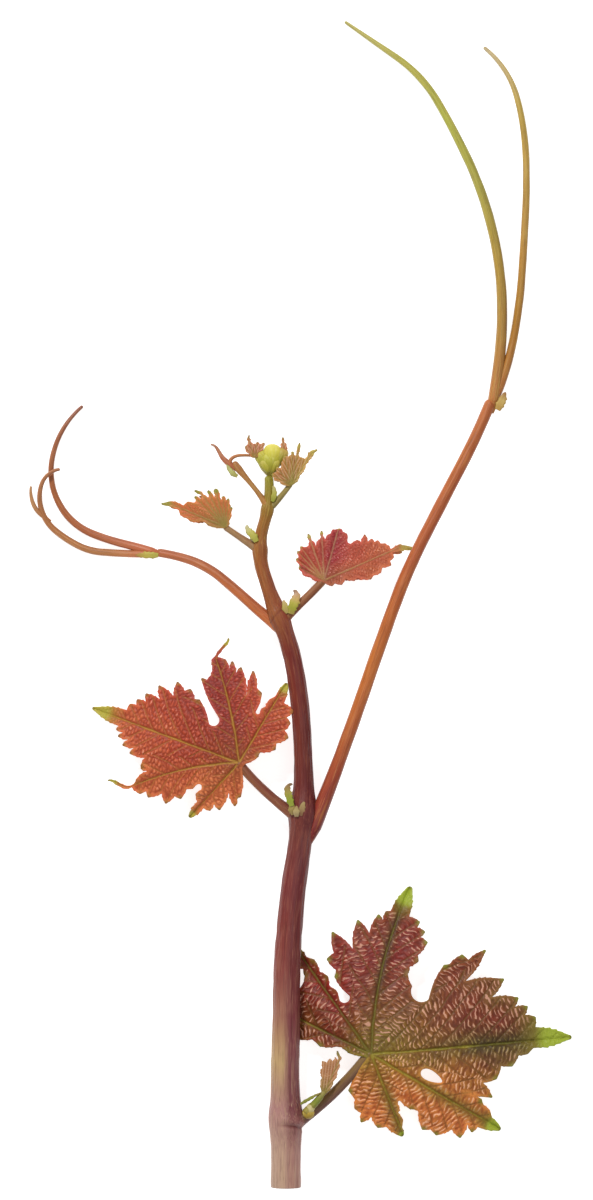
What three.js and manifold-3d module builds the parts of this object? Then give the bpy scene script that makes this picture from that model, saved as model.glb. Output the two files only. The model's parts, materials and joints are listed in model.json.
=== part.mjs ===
// The cut tip of a young grapevine shoot, lying on a level surface.
//
// Millimetres, +Z up. The shoot runs along +Y from its flat cut, and its right-hand
// side is +X. Inside this file the origin is under the middle of the cut; the last
// lines move the whole shoot so that the origin is under the middle of its own box.
//
// Every stem, leaf stalk and tendril is a limb: it walks forward from its start and
// turns through a short list of headings. Every blade is a fan of lobes round its
// foot, each with its main vein, its teeth and its length.

import * as THREE from 'three';
import { mergeVertices } from 'three/addons/utils/BufferGeometryUtils.js';
import Module from 'manifold-3d';

const wasm = await Module();
wasm.setup();

// ---------------------------------------------------------------- driving sizes

const CLEAR = 0.3;            // gap between a piece and the neighbour it grows from
const WALK_STEP = 1.0;        // stride of a limb's walk
const STEM_RADIUS = 3.3;      // at the cut
const STEM_LENGTH = 158.5;    // from the cut to the bud at the tip
const CUT_AWAY = 2;           // length of stem that the cut removes
const FLOOR_SKIN = 0.02;      // lowest point of a blade above the floor
const UP = new THREE.Vector3(0, 0, 1);

const COLOUR = {
  stem: '#6f3a2c',
  petiole: '#9a3f3a',
  tendril: '#b5622b',
  young: '#a3a83c',
  darkLeaf: '#6d2a20',
  redLeaf: '#b84f3a',
  pinkLeaf: '#b03a44',
  orangeLeaf: '#c0683c',
  scale: '#c9b48a',
  bud: '#aebc52',
};

// Swellings of the stem where a leaf or tendril leaves it.
const STEM_NODES = [
  { at: 17, swell: 0.6, reach: 4 },
  { at: 85, swell: 0.85, reach: 3.6 },
  { at: 130, swell: 0.55, reach: 3.5 },
  { at: 146.5, swell: 0.3, reach: 2.5 },
  { at: 155, swell: 0.25, reach: 2 },
];

// start: place of the root. headings: degrees from +X, evenly spaced along the length.
// heights and radii: likewise evenly spaced. flat: height of the section over its width.
const LIMBS = {
  stem: {
    start: [0, -CUT_AWAY], length: STEM_LENGTH + CUT_AWAY, sides: 16, ring: 3.2,
    headings: [91, 89, 92, 88, 90, 87, 84, 81, 87, 92, 95, 101, 113, 106, 72, 97],
    heights: [3.15, 4.9, 6.3, 6.9, 7.3, 7.6, 7.8, 8, 8],
    radii: [STEM_RADIUS, 3.2, 3.1, 3, 2.8, 2.68, 2.6, 2.15, 2, 2.05, 1.68, 1.4, 1.38],
    swellings: STEM_NODES,
  },
  petiole_1: {
    start: [2.6, 14.6], length: 22, sides: 10, ring: 2.2,
    headings: [33, 46, 51], heights: [4.6, 5.4, 7, 8.5], radii: [1.35, 1.15, 1.1, 1.25],
  },
  petiole_2: {
    start: [2, 82.1], length: 17, sides: 10, ring: 2.2,
    headings: [145, 137, 128], heights: [7.4, 8.4, 9.5], radii: [1.3, 1.05, 1.0, 1.15],
  },
  petiole_3: {
    start: [-0.2, 125.6], length: 11.4, sides: 10, ring: 2,
    headings: [40, 44, 48], heights: [8, 8.6, 9], radii: [1.15, 0.95, 0.9, 1.0],
  },
  petiole_4: {
    start: [-7, 140.9], length: 7.8, sides: 8, ring: 1.8,
    headings: [147, 145, 143], heights: [8, 8.5, 8.6], radii: [0.9, 0.75, 0.75],
  },
  petiole_5: {
    start: [-3.3, 149.2], length: 6.6, sides: 8, ring: 1.6,
    headings: [50, 52, 53], heights: [8, 8.8, 9.8], radii: [0.8, 0.65, 0.65],
  },
  tendril_right_stalk: {
    start: [6.1, 79.7], length: 101.8, sides: 8, ring: 3,
    headings: [68, 70, 71, 70, 63, 62, 68], heights: [7.3, 9.2, 8.6, 7.6, 6.4, 5],
    radii: [2.1, 1.5, 1.45, 1.4, 1.35, 1.3, 1.25],
  },
  tendril_right_long_arm: {
    start: [45.7, 173.4], length: 96, sides: 8, ring: 2.6,
    headings: [80, 86, 96, 106, 115, 120, 145, 145], heights: [5, 4.4, 4.6, 5, 4, 2.4, 0.75],
    radii: [1.3, 1.2, 1.1, 1.05, 0.95, 0.85, 0.7, 0.35],
  },
  tendril_right_short_arm: {
    start: [46.2, 174.2], length: 80.5, sides: 8, ring: 2.6,
    headings: [67, 79, 86, 87, 92, 105, 141], heights: [5, 4, 4.4, 4.6, 3.4, 0.75],
    radii: [1.0, 0.9, 0.88, 0.82, 0.76, 0.68, 0.4],
  },
  tendril_left_stalk: {
    start: [-2.2, 124], length: 31.5, sides: 8, ring: 2.6,
    headings: [142, 138, 140, 161, 173], heights: [8, 8, 6, 4.2, 3],
    radii: [1.35, 1.15, 1.1, 1.0, 0.95],
  },
  tendril_left_long_arm: {
    start: [-29.6, 140.1], length: 47.8, sides: 8, ring: 2,
    headings: [164, 166, 158, 131, 105, 79, 60, 40], heights: [3, 2.2, 1.6, 1.2, 1, 1, 1.2, 0.6],
    radii: [0.95, 0.9, 0.88, 0.8, 0.68, 0.6, 0.5, 0.3],
  },
  tendril_left_lower_arm: {
    start: [-29.5, 139.6], length: 39.5, sides: 8, ring: 2,
    headings: [182, 178, 175, 152, 141, 107, 72, 6], heights: [3, 2.6, 2, 1.6, 1.4, 1.4, 2.6, 3.2],
    radii: [0.9, 0.8, 0.8, 0.78, 0.75, 0.65, 0.5, 0.3],
  },
  tendril_left_twig: {
    start: [-53.2, 147.6], length: 8, sides: 8, ring: 1.5,
    headings: [158, 108, 70], heights: [1.4, 1.6, 1.8], radii: [0.6, 0.5, 0.25],
  },
  tendril_tip_stalk: {
    start: [-4.1, 149.9], length: 11, sides: 8, ring: 1.8,
    headings: [127, 130], heights: [8, 8.5, 8.5], radii: [0.8, 0.7, 0.95],
  },
  tendril_tip_outer_arm: {
    start: [-11.2, 158.6], length: 7.6, sides: 8, ring: 1,
    headings: [186, 131, 109, 182], heights: [8.5, 8.2, 7.8], radii: [0.7, 0.5, 0.4, 0.22],
  },
  tendril_tip_inner_arm: {
    start: [-12.6, 159.4], length: 6.2, sides: 8, ring: 0.9,
    headings: [62, 8, -5, -5], heights: [8.6, 8.8, 8.8], radii: [0.5, 0.45, 0.38, 0.2],
  },
  bract_right_fork: {
    start: [46.6, 171.4], length: 4, sides: 8, ring: 0.8, flat: 0.5,
    headings: [62, 70], heights: [6.3, 6.6], radii: [0.7, 1.1, 0.9, 0.25],
  },
  bract_left_fork: {
    start: [-28.6, 139.2], length: 4.2, sides: 8, ring: 0.8, flat: 0.5,
    headings: [178, 182], heights: [4.7, 3.9], radii: [0.6, 1.1, 0.95, 0.25],
  },
  bract_tip_fork: {
    start: [-10.6, 157.2], length: 2.6, sides: 8, ring: 0.6, flat: 0.6,
    headings: [170, 150], heights: [9.6, 9.2], radii: [0.6, 0.95, 0.8, 0.25],
  },
  lateral_stalk: {
    start: [5.6, 17.3], length: 5, sides: 8, ring: 1.2,
    headings: [44, 56], heights: [7.4, 8], radii: [0.9, 0.75, 0.7],
  },
  lateral_bract: {
    start: [2.6, 19.3], length: 5.2, sides: 8, ring: 1.2, flat: 0.6,
    headings: [32, 26], heights: [8.4, 8.9], radii: [0.35, 0.45, 0.2],
  },
  stipule_2: {
    start: [1.4, 84.4], length: 5.2, sides: 8, ring: 0.9, flat: 0.5,
    headings: [108, 96], heights: [10.9, 10.6], radii: [0.8, 1.0, 0.55, 0.15],
  },
  stipule_3: {
    start: [0, 126.2], length: 5.6, sides: 8, ring: 0.9, flat: 0.6,
    headings: [60, 80], heights: [9.6, 9.6], radii: [1.0, 1.35, 0.8, 0.15],
  },
  stipule_4: {
    start: [-6.9, 142], length: 4.8, sides: 8, ring: 0.8, flat: 0.6,
    headings: [125, 112], heights: [9.5, 9.6], radii: [0.8, 1.15, 0.6, 0.15],
  },
  stipule_5: {
    start: [-2, 151.2], length: 3.6, sides: 8, ring: 0.7, flat: 0.6,
    headings: [95, 98], heights: [9.3, 9.2], radii: [0.7, 0.9, 0.5, 0.15],
  },
};

// foot: where the stalk meets the blade. Lobes go anticlockwise from the leaf stalk.
// right and left: tips of the teeth beside the main vein, [along it, away from it], root first.
// sinus: the bay after the lobe, [heading, distance from the foot]. low: height of the lobe's tip.
// bow: extra heading of the main vein at its foot. folded: the other half lies under this one.
const LEAVES = {
  leaf_1: {
    foot: [18.7, 29.7, 8.5], thick: 0.65, cell: 2.9, droop: 1.5, puff: 1.4, colour: COLOUR.darkLeaf,
    lobes: [
      { heading: -69, length: 20, low: 0.9, sinus: [-59, 11.5],
        right: [[4, 5.5], [7, 8], [10.5, 7.5], [13.5, 7], [17, 3]], left: [[16, 1]] },
      { heading: -31, length: 33.5, low: 0.5, sinus: [-18, 12.5],
        right: [[15, 6], [19, 8.5], [22, 8.5], [26.5, 6], [29, 2.5]],
        left: [[16, 2.5], [22, 4], [29, 2.5]] },
      { heading: 4, length: 44.5, low: 0.4, sinus: [58, 15],
        right: [[15, 6.5], [22, 11], [25.5, 11], [27, 7.5], [31, 5], [35, 2]],
        left: [[14.5, 14.5], [20, 19], [26.5, 20.5], [30, 13.5], [33, 10], [36, 5.5]] },
      { heading: 76.5, bow: 12, length: 37.5, low: 1.2, sinus: [116, 13],
        right: [[17.5, 5.5], [21, 6], [24.5, 8], [28.5, 7], [31, 4.5]],
        left: [[14.5, 10], [18, 12], [20, 11.5], [23.5, 12.5], [28, 7.5], [31, 3.5]] },
      { heading: 126, length: 28.5, low: 1.0, sinus: [138, 21],
        right: [[16, 1.5], [19, 2], [24, 1.5]], left: [[25, 2]] },
      { heading: 155, length: 22, low: 0.8, sinus: [224, 0.8],
        right: [[17, 3.5]], left: [[5, 1.5], [11, 3], [16, 4]] },
    ],
  },
  leaf_2: {
    foot: [-10.3, 93.7, 9.5], thick: 0.55, cell: 2.6, droop: 1.5, puff: 1.0, colour: COLOUR.redLeaf,
    lobes: [
      { heading: 58, length: 20.5, low: 8.6, sinus: [70, 11.5],
        right: [[7.5, 5], [10.5, 6], [13, 5.5], [15.5, 4]], left: [[14.5, 1.5], [17.5, 0.8]] },
      { heading: 96, length: 27.5, low: 3.4, sinus: [123, 9.5],
        right: [[11.5, 5.5], [15, 6.5], [19.5, 5.5], [21, 3], [23, 1]],
        left: [[12, 4.5], [15, 5.5], [19, 6], [21, 4.5], [23.5, 2.5]] },
      { heading: 160, length: 35, low: 0.4, sinus: [185, 19.5],
        right: [[11.5, 8], [13.5, 10], [18.5, 11.5], [22, 9.5], [24.5, 7], [27, 2.5]],
        left: [[20, 8.5], [23.5, 6], [25.5, 5], [27, 3.5], [28.5, 1.5]] },
      { heading: 194, length: 25.5, low: 0.6, sinus: [206, 10],
        right: [[21, 2], [23, 1]], left: [[12, 3.5], [14.5, 5], [17.5, 5], [21, 2.5]] },
      { heading: 228, length: 16.5, low: 3, sinus: [316, 0.8],
        right: [[9.5, 2.5], [13, 1.5]], left: [[7.5, 6], [10.5, 3.5], [12.5, 2]] },
    ],
  },
  leaf_3: {
    foot: [8, 133.6, 9], thick: 0.5, cell: 2.0, droop: 1.3, puff: 0.5, folded: 0.85,
    colour: COLOUR.pinkLeaf,
    lobes: [
      { heading: 21, length: 21.5, low: 4.5, sinus: [52, 10.5],
        right: [[3.5, 2], [7, 2.5], [10.5, 3.5], [15, 2]], left: [[12, 6], [14.5, 4], [16, 1.5]] },
      { heading: 71, length: 12.5, low: 8, sinus: [86, 9.8],
        right: [[11.5, 2.5]], left: [[10, 2]] },
      { heading: 92, length: 11, low: 8, sinus: [99, 8.5], right: [[9, 0.5]], left: [[9, 0.5]] },
      { heading: 108, length: 11, low: 7.5, sinus: [120, 7],
        right: [[8.5, 0.3]], left: [[8, 1.2]] },
      { heading: 141, length: 7.5, low: 7.5, sinus: [227, 0.5], right: [[6, 1]], left: [[3.5, 0.8]] },
    ],
  },
  leaf_4: {
    foot: [-13.4, 145.3, 8.6], thick: 0.45, cell: 1.8, droop: 1.3, puff: 0.3, folded: 0.8,
    colour: COLOUR.orangeLeaf,
    lobes: [
      { heading: 81, length: 6.5, low: 8.4, sinus: [92, 5], right: [[4.5, 1]], left: [[5, 0.5]] },
      { heading: 104, length: 8.6, low: 8, sinus: [109, 7], right: [[7, 0.6]], left: [[7.5, 0.4]] },
      { heading: 115, length: 9, low: 7.6, sinus: [120, 7.4], right: [[7.8, 0.4]], left: [[8, 0.4]] },
      { heading: 125.5, length: 10.5, low: 7.2, sinus: [136, 9], right: [[8.4, 0.5]], left: [[9, 0.8]] },
      { heading: 159, length: 15, low: 5, sinus: [324, 0.4],
        right: [[9, 2], [11.5, 1]], left: [[3, 1.5], [7.5, 1.5], [11, 0.8]] },
    ],
  },
  leaf_5: {
    foot: [0.8, 154.5, 9.8], thick: 0.4, cell: 1.5, droop: 1.3, puff: 0.2, folded: 0.8,
    colour: COLOUR.orangeLeaf,
    lobes: [
      { heading: 56, length: 10.2, low: 9.4, sinus: [64, 7.2],
        right: [[3, 1], [6.5, 0.8]], left: [[7.6, 0.8]] },
      { heading: 79, length: 9.8, low: 10.6, sinus: [100, 6], right: [[7, 0.9]], left: [[7, 0.9]] },
      { heading: 132, length: 4.6, low: 11, sinus: [233, 0.4], right: [[3, 1]], left: [[2.5, 0.6]] },
    ],
  },
  lateral_leaf: {
    foot: [8.6, 21.4, 8.2], thick: 0.4, cell: 1.1, droop: 1.3, puff: 0.2, folded: 0.8,
    colour: COLOUR.young,
    lobes: [
      { heading: 72, length: 9.6, low: 9.4, sinus: [250, 0.5],
        right: [[3, 0.9], [6.5, 1.7]], left: [[4, 2.1], [7, 2.1], [7.6, 0.9]] },
    ],
  },
  tip_leaf_left: {
    foot: [-5.9, 161.2, 9.6], thick: 0.4, cell: 0.8, droop: 1.2, puff: 0, folded: 0.8,
    colour: COLOUR.orangeLeaf,
    lobes: [
      { heading: 121, length: 5.2, low: 8.6, sinus: [300, 0.4],
        right: [[1.6, 1.1], [3.4, 1.1]], left: [[1.6, 1.2], [3.6, 0.9]] },
    ],
  },
  tip_leaf_right: {
    foot: [-0.6, 161.4, 9], thick: 0.4, cell: 0.8, droop: 1.2, puff: 0, folded: 0.8,
    colour: COLOUR.orangeLeaf,
    lobes: [
      { heading: 88, length: 3.8, low: 8.6, sinus: [270, 0.3],
        right: [[1.4, 0.9], [2.6, 0.6]], left: [[1.4, 0.9], [2.4, 0.7]] },
    ],
  },
};

// Soft little bodies: one or more ellipsoids, [centre], [half sizes].
const BUDS = {
  tip_bud: [
    { centre: [-4.9, 160.5, 8], half: [2.3, 2.9, 2.2] },
    { centre: [-2.5, 160.1, 7.8], half: [2.5, 3.2, 2.2] },
    { centre: [-0.6, 159.6, 7.5], half: [1.3, 2.5, 1.5] },
  ],
  bud_2: [{ centre: [2.4, 84.1, 10.8], half: [1.9, 1.7, 0.9] }],
  lateral_scale: [{ centre: [5.2, 17.7, 7.3], half: [1.7, 1.5, 1.3] }],
};

// ---------------------------------------------------------------- solids

// A closed geometry becomes a solid once its seams are merged.
function solidOf(geometry) {
  geometry.deleteAttribute('normal');
  geometry.deleteAttribute('uv');
  const merged = mergeVertices(geometry);
  return new wasm.Manifold(new wasm.Mesh({
    numProp: 3,
    vertProperties: merged.attributes.position.array,
    triVerts: new Uint32Array(merged.index.array),
  }));
}

function geometryOf(solid) {
  const { vertProperties, triVerts } = solid.getMesh();
  const geometry = new THREE.BufferGeometry();
  geometry.setAttribute('position', new THREE.BufferAttribute(vertProperties, 3));
  geometry.setIndex(new THREE.BufferAttribute(triVerts, 1));
  geometry.computeVertexNormals();
  return geometry;
}

// A cut can leave crumbs: only the largest piece is kept.
function largestPiece(solid) {
  const pieces = solid.decompose();
  return pieces.reduce((best, piece) => (piece.volume() > best.volume() ? piece : best));
}

// Value at the fraction t of a list of evenly spaced values.
function spread(values, t) {
  const place = THREE.MathUtils.clamp(t, 0, 1) * (values.length - 1);
  const index = Math.min(Math.floor(place), values.length - 2);
  return THREE.MathUtils.lerp(values[index], values[index + 1], place - index);
}

// ---------------------------------------------------------------- limbs

function walkLimb(limb) {
  const strides = Math.ceil(limb.length / WALK_STEP);
  const stride = limb.length / strides;
  const points = [];
  let [x, y] = limb.start;
  for (let i = 0; i <= strides; i += 1) {
    points.push(new THREE.Vector3(x, y, spread(limb.heights, i / strides)));
    const heading = THREE.MathUtils.degToRad(spread(limb.headings, (i + 0.5) / strides));
    x += stride * Math.cos(heading);
    y += stride * Math.sin(heading);
  }
  return new THREE.CatmullRomCurve3(points);
}

function limbRadius(limb, t) {
  let radius = spread(limb.radii, t);
  for (const node of limb.swellings ?? []) {
    radius += node.swell * Math.exp(-(((t * limb.length - node.at) / node.reach) ** 2));
  }
  return radius;
}

// A cylinder bent along the limb's walk, closed at both ends.
function limbSolid(limb, grow = 0, from = 0, to = 1) {
  const curve = walkLimb(limb);
  const rings = Math.max(2, Math.round(limb.length * (to - from) / limb.ring));
  const geometry = new THREE.CylinderGeometry(1, 1, 1, limb.sides, rings);
  const corners = geometry.attributes.position;
  for (let i = 0; i < corners.count; i += 1) {
    const t = THREE.MathUtils.lerp(from, to, corners.getY(i) + 0.5);
    const ahead = curve.getTangent(t);
    const side = new THREE.Vector3().crossVectors(ahead, UP).normalize();
    const top = new THREE.Vector3().crossVectors(side, ahead);
    const radius = limbRadius(limb, t) + grow;
    const height = limbRadius(limb, t) * (limb.flat ?? 1) + grow;
    const corner = curve.getPoint(t);
    corner.addScaledVector(side, corners.getX(i) * radius);
    corner.addScaledVector(top, corners.getZ(i) * height);
    corners.setXYZ(i, corner.x, corner.y, corner.z);
  }
  return solidOf(geometry);
}

// The room that a limb needs round it, rounded past its tip.
function roomRound(limb) {
  const end = walkLimb(limb).getPoint(1);
  const knob = new THREE.SphereGeometry(limbRadius(limb, 1) + CLEAR, 12, 8);
  knob.translate(end.x, end.y, end.z);
  return limbSolid(limb, CLEAR).add(solidOf(knob));
}

// The stem is walked through the plane of its cut and then cut flat there.
function stemSolid(grow = 0) {
  const behind = new THREE.BoxGeometry(40, 20, 40);
  behind.translate(0, -10, 0);
  return limbSolid(LIMBS.stem, grow).subtract(solidOf(behind));
}

// ---------------------------------------------------------------- buds

function budSolid(parts, grow = 0) {
  let whole = null;
  for (const part of parts) {
    const ball = new THREE.SphereGeometry(1, 12, 7);
    ball.rotateX(Math.PI / 2);
    ball.scale(...part.half.map((size) => size + grow));
    ball.translate(...part.centre);
    const solid = solidOf(ball);
    whole = whole ? whole.add(solid) : solid;
  }
  return whole;
}

// ---------------------------------------------------------------- blades

const TOOTH_VALLEY = 0.42;    // place of a valley between two tips
const TOOTH_DEPTH = 0.2;      // its depth over the distance between them
const CREASE_DROP = 0.2;      // the hidden half starts this far under the shown one
const CREASE_SLOPE = 0.3;     // and sinks this much for each millimetre from the crease

// A point beside a lobe's main vein, seen from the foot of the blade.
function besideVein(lobe, along, out) {
  const bow = (lobe.bow ?? 0) * (1 - along / lobe.length);
  const turn = THREE.MathUtils.degToRad(lobe.heading + bow);
  const vein = new THREE.Vector2(Math.cos(turn), Math.sin(turn));
  return new THREE.Vector2(vein.x * along - vein.y * out, vein.y * along + vein.x * out);
}

// Tips and valleys up one side of a lobe; hand is 1 on the left and -1 on the right.
function toothedSide(lobe, teeth, hand) {
  const tips = [...teeth, [lobe.length, 0]];
  const points = [];
  tips.forEach(([along, out], index) => {
    points.push(besideVein(lobe, along, hand * out));
    const next = tips[index + 1];
    if (next) {
      const gap = Math.hypot(next[0] - along, next[1] - out);
      const valleyAlong = THREE.MathUtils.lerp(along, next[0], TOOTH_VALLEY);
      const valleyOut = THREE.MathUtils.lerp(out, next[1], TOOTH_VALLEY) - TOOTH_DEPTH * gap;
      points.push(besideVein(lobe, valleyAlong, hand * Math.max(valleyOut, 0.15)));
    }
  });
  return points;
}

function bladeOutline(leaf) {
  const points = [];
  for (const lobe of leaf.lobes) {
    const down = toothedSide(lobe, lobe.left, 1).reverse();
    points.push(...toothedSide(lobe, lobe.right, -1), ...down.slice(1));
    const turn = THREE.MathUtils.degToRad(lobe.sinus[0]);
    points.push(new THREE.Vector2(Math.cos(turn), Math.sin(turn)).multiplyScalar(lobe.sinus[1]));
  }
  return points;
}

// Height of the blade over (x, y) from its foot: it falls to the tip of each lobe
// and puffs up between the main veins.
function bladeHeight(leaf, x, y) {
  const { lobes } = leaf;
  const reach = Math.hypot(x, y);
  const seam = lobes[lobes.length - 1].sinus[0] - 360;
  let turn = THREE.MathUtils.radToDeg(Math.atan2(y, x));
  turn = seam + THREE.MathUtils.euclideanModulo(turn - seam, 360);
  let next = lobes.findIndex((lobe) => lobe.heading > turn);
  next = next < 0 ? lobes.length : next;
  const before = lobes[Math.max(next - 1, 0)];
  const after = lobes[Math.min(next, lobes.length - 1)];
  const span = after.heading - before.heading;
  const share = span > 0 ? (turn - before.heading) / span : 0;
  const eased = THREE.MathUtils.smoothstep(share, 0, 1);
  const length = THREE.MathUtils.lerp(before.length, after.length, eased);
  const low = THREE.MathUtils.lerp(before.low, after.low, eased);
  const part = Math.min(reach / length, 1.1);
  const fall = (low - leaf.foot[2]) * part ** leaf.droop;
  return leaf.foot[2] + fall + leaf.puff * Math.sin(Math.PI * share) * part;
}

// A thin slab that follows the blade's height, cut to its outline from above.
function bladeSheet(leaf, outline, lift) {
  const box = new THREE.Box2().setFromPoints(outline);
  const size = box.getSize(new THREE.Vector2()).addScalar(2 * leaf.cell);
  const middle = box.getCenter(new THREE.Vector2());
  const columns = Math.ceil(size.x / leaf.cell);
  const rows = Math.ceil(size.y / leaf.cell);
  const slab = new THREE.BoxGeometry(size.x, size.y, leaf.thick, columns, rows, 1);
  slab.translate(middle.x, middle.y, 0);
  const corners = slab.attributes.position;
  for (let i = 0; i < corners.count; i += 1) {
    const x = corners.getX(i);
    const y = corners.getY(i);
    const lowest = leaf.thick / 2 + FLOOR_SKIN;
    const height = Math.max(bladeHeight(leaf, x, y) + lift(x, y), lowest);
    corners.setZ(i, corners.getZ(i) + height);
  }
  const prism = new THREE.ExtrudeGeometry(new THREE.Shape(outline), { depth: 40, bevelEnabled: false });
  prism.translate(0, 0, -10);
  return largestPiece(solidOf(slab).intersect(solidOf(prism)));
}

// Distance of (x, y) from the main vein of the longest lobe, where a folded blade is creased.
function fromCrease(leaf, x, y) {
  const longest = leaf.lobes.reduce((best, lobe) => (lobe.length > best.length ? lobe : best));
  const turn = THREE.MathUtils.degToRad(longest.heading);
  return Math.abs(y * Math.cos(turn) - x * Math.sin(turn));
}

function bladeSolid(leaf) {
  const outline = bladeOutline(leaf);
  let blade = bladeSheet(leaf, outline, () => 0);
  if (leaf.folded) {
    const under = outline.map((point) => point.clone().multiplyScalar(leaf.folded));
    const drop = (x, y) => -CREASE_DROP - CREASE_SLOPE * fromCrease(leaf, x, y);
    blade = blade.add(bladeSheet(leaf, under, drop));
  }
  return blade.translate(leaf.foot[0], leaf.foot[1], 0);
}

// ---------------------------------------------------------------- the shoot

const shoot = new THREE.Group();

function addPiece(name, solid, colour) {
  const material = new THREE.MeshStandardMaterial({ color: colour, roughness: 0.5, metalness: 0 });
  const mesh = new THREE.Mesh(geometryOf(largestPiece(solid)), material);
  mesh.name = name;
  shoot.add(mesh);
}

// Space kept free round a neighbour.
function room(name) {
  if (name === 'stem') {
    return stemSolid(CLEAR);
  }
  return LIMBS[name] ? roomRound(LIMBS[name]) : budSolid(BUDS[name], CLEAR);
}

function cleared(solid, neighbours) {
  return neighbours.reduce((left, name) => left.subtract(room(name)), solid);
}

// One limb in one or more lengths, with a clear gap at each split.
function addLimb(name, neighbours, colour, lengths = ['']) {
  const limb = LIMBS[name];
  const gap = CLEAR / limb.length / 2;
  lengths.forEach((suffix, index) => {
    const from = index / lengths.length + (index > 0 ? gap : 0);
    const to = (index + 1) / lengths.length - (index < lengths.length - 1 ? gap : 0);
    addPiece(name + suffix, cleared(limbSolid(limb, 0, from, to), neighbours), colour);
  });
}

function addBlade(name, neighbours) {
  addPiece(name, cleared(bladeSolid(LEAVES[name]), neighbours), LEAVES[name].colour);
}

function addBud(name, neighbours, colour) {
  addPiece(name, cleared(budSolid(BUDS[name]), neighbours), colour);
}

addPiece('stem', stemSolid(), COLOUR.stem);

for (const number of [1, 2, 3, 4, 5]) {
  addLimb(`petiole_${number}`, ['stem'], COLOUR.petiole);
  addBlade(`leaf_${number}`, ['stem', `petiole_${number}`]);
}

addLimb('tendril_right_stalk', ['stem'], COLOUR.tendril, ['_low', '_high']);
addLimb('tendril_right_long_arm', ['tendril_right_stalk'], COLOUR.tendril, ['_low', '_mid', '_high']);
addLimb(
  'tendril_right_short_arm',
  ['tendril_right_stalk', 'tendril_right_long_arm'],
  COLOUR.tendril,
  ['_low', '_high'],
);
addLimb('tendril_left_stalk', ['stem'], COLOUR.tendril, ['_low', '_high']);
addLimb('tendril_left_long_arm', ['tendril_left_stalk'], COLOUR.tendril, ['_low', '_high']);
addLimb(
  'tendril_left_lower_arm',
  ['tendril_left_stalk', 'tendril_left_long_arm'],
  COLOUR.tendril,
  ['_low', '_high'],
);
addLimb('tendril_left_twig', ['tendril_left_lower_arm'], COLOUR.tendril);
addLimb('tendril_tip_stalk', ['stem'], COLOUR.young);
addLimb('tendril_tip_outer_arm', ['tendril_tip_stalk'], COLOUR.young);
addLimb('tendril_tip_inner_arm', ['tendril_tip_stalk', 'tendril_tip_outer_arm'], COLOUR.young);

addLimb(
  'bract_right_fork',
  ['tendril_right_stalk', 'tendril_right_long_arm', 'tendril_right_short_arm'],
  COLOUR.scale,
);
addLimb(
  'bract_left_fork',
  ['tendril_left_stalk', 'tendril_left_long_arm', 'tendril_left_lower_arm'],
  COLOUR.scale,
);
addLimb('bract_tip_fork', ['tendril_tip_stalk', 'tendril_tip_outer_arm'], COLOUR.scale);

addBud('lateral_scale', ['stem', 'petiole_1'], COLOUR.scale);
addLimb('lateral_stalk', ['stem', 'petiole_1', 'lateral_scale'], COLOUR.young);
addBlade('lateral_leaf', ['petiole_1', 'lateral_stalk', 'lateral_scale']);
addLimb('lateral_bract', ['stem', 'lateral_scale', 'lateral_stalk'], COLOUR.scale);

addBud('bud_2', ['stem', 'petiole_2'], COLOUR.scale);
addLimb('stipule_2', ['stem', 'petiole_2', 'bud_2'], COLOUR.scale);
addLimb('stipule_3', ['stem', 'petiole_3'], COLOUR.scale);
addLimb('stipule_4', ['stem', 'petiole_4'], COLOUR.scale);
addLimb('stipule_5', ['stem', 'petiole_5'], COLOUR.scale);

addBud('tip_bud', ['stem', 'petiole_5', 'tendril_tip_inner_arm'], COLOUR.bud);
addBlade('tip_leaf_left', ['tip_bud', 'tendril_tip_inner_arm']);
addBlade('tip_leaf_right', ['tip_bud']);

// The origin goes under the middle of the whole shoot.
const bounds = new THREE.Box3().setFromObject(shoot);
const centre = bounds.getCenter(new THREE.Vector3());
shoot.position.set(-centre.x, -centre.y, -bounds.min.z);

export default shoot;
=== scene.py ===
# %% [markdown]
# # The cut tip of a grapevine shoot
# A young shoot was cut below the fifth leaf from its tip and laid down on a table. Its bark runs
# from mauve to olive, and it carries leaf stalks, three forked tendrils, five leaves that get
# younger towards the tip, and a soft bud at the end. We dress the CAD model of that shoot: every piece
# below covers a CAD piece of the same place and reach.

# %% Load the frame
import json
import math

import bmesh
import bpy
import numpy as np
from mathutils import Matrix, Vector
from mathutils.kdtree import KDTree


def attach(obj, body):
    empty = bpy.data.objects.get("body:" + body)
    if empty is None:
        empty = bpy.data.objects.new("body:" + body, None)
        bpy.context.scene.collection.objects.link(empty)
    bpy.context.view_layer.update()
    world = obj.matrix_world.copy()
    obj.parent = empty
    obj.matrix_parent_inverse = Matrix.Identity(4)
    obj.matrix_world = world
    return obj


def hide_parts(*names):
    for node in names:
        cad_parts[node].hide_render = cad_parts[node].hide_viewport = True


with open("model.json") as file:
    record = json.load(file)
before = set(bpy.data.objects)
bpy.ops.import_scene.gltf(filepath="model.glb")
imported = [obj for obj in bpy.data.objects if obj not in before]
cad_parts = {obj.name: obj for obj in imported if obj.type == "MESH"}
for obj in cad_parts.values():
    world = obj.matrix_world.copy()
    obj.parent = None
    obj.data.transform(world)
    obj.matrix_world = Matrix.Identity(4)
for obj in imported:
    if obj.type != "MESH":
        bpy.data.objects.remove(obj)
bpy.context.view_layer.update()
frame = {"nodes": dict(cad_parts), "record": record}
print("frame holds", len(frame["nodes"]), "CAD pieces")

# %% [markdown]
# ## Millimetres from the cut
# A gardener would measure a shoot from its cut end, in millimetres. Blender works in metres.
# So all places below are millimetres from a point on the table under the middle of the cut,
# and one function turns them into metres in the frame, where the mount called cut_end says
# where the cut is.

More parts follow.
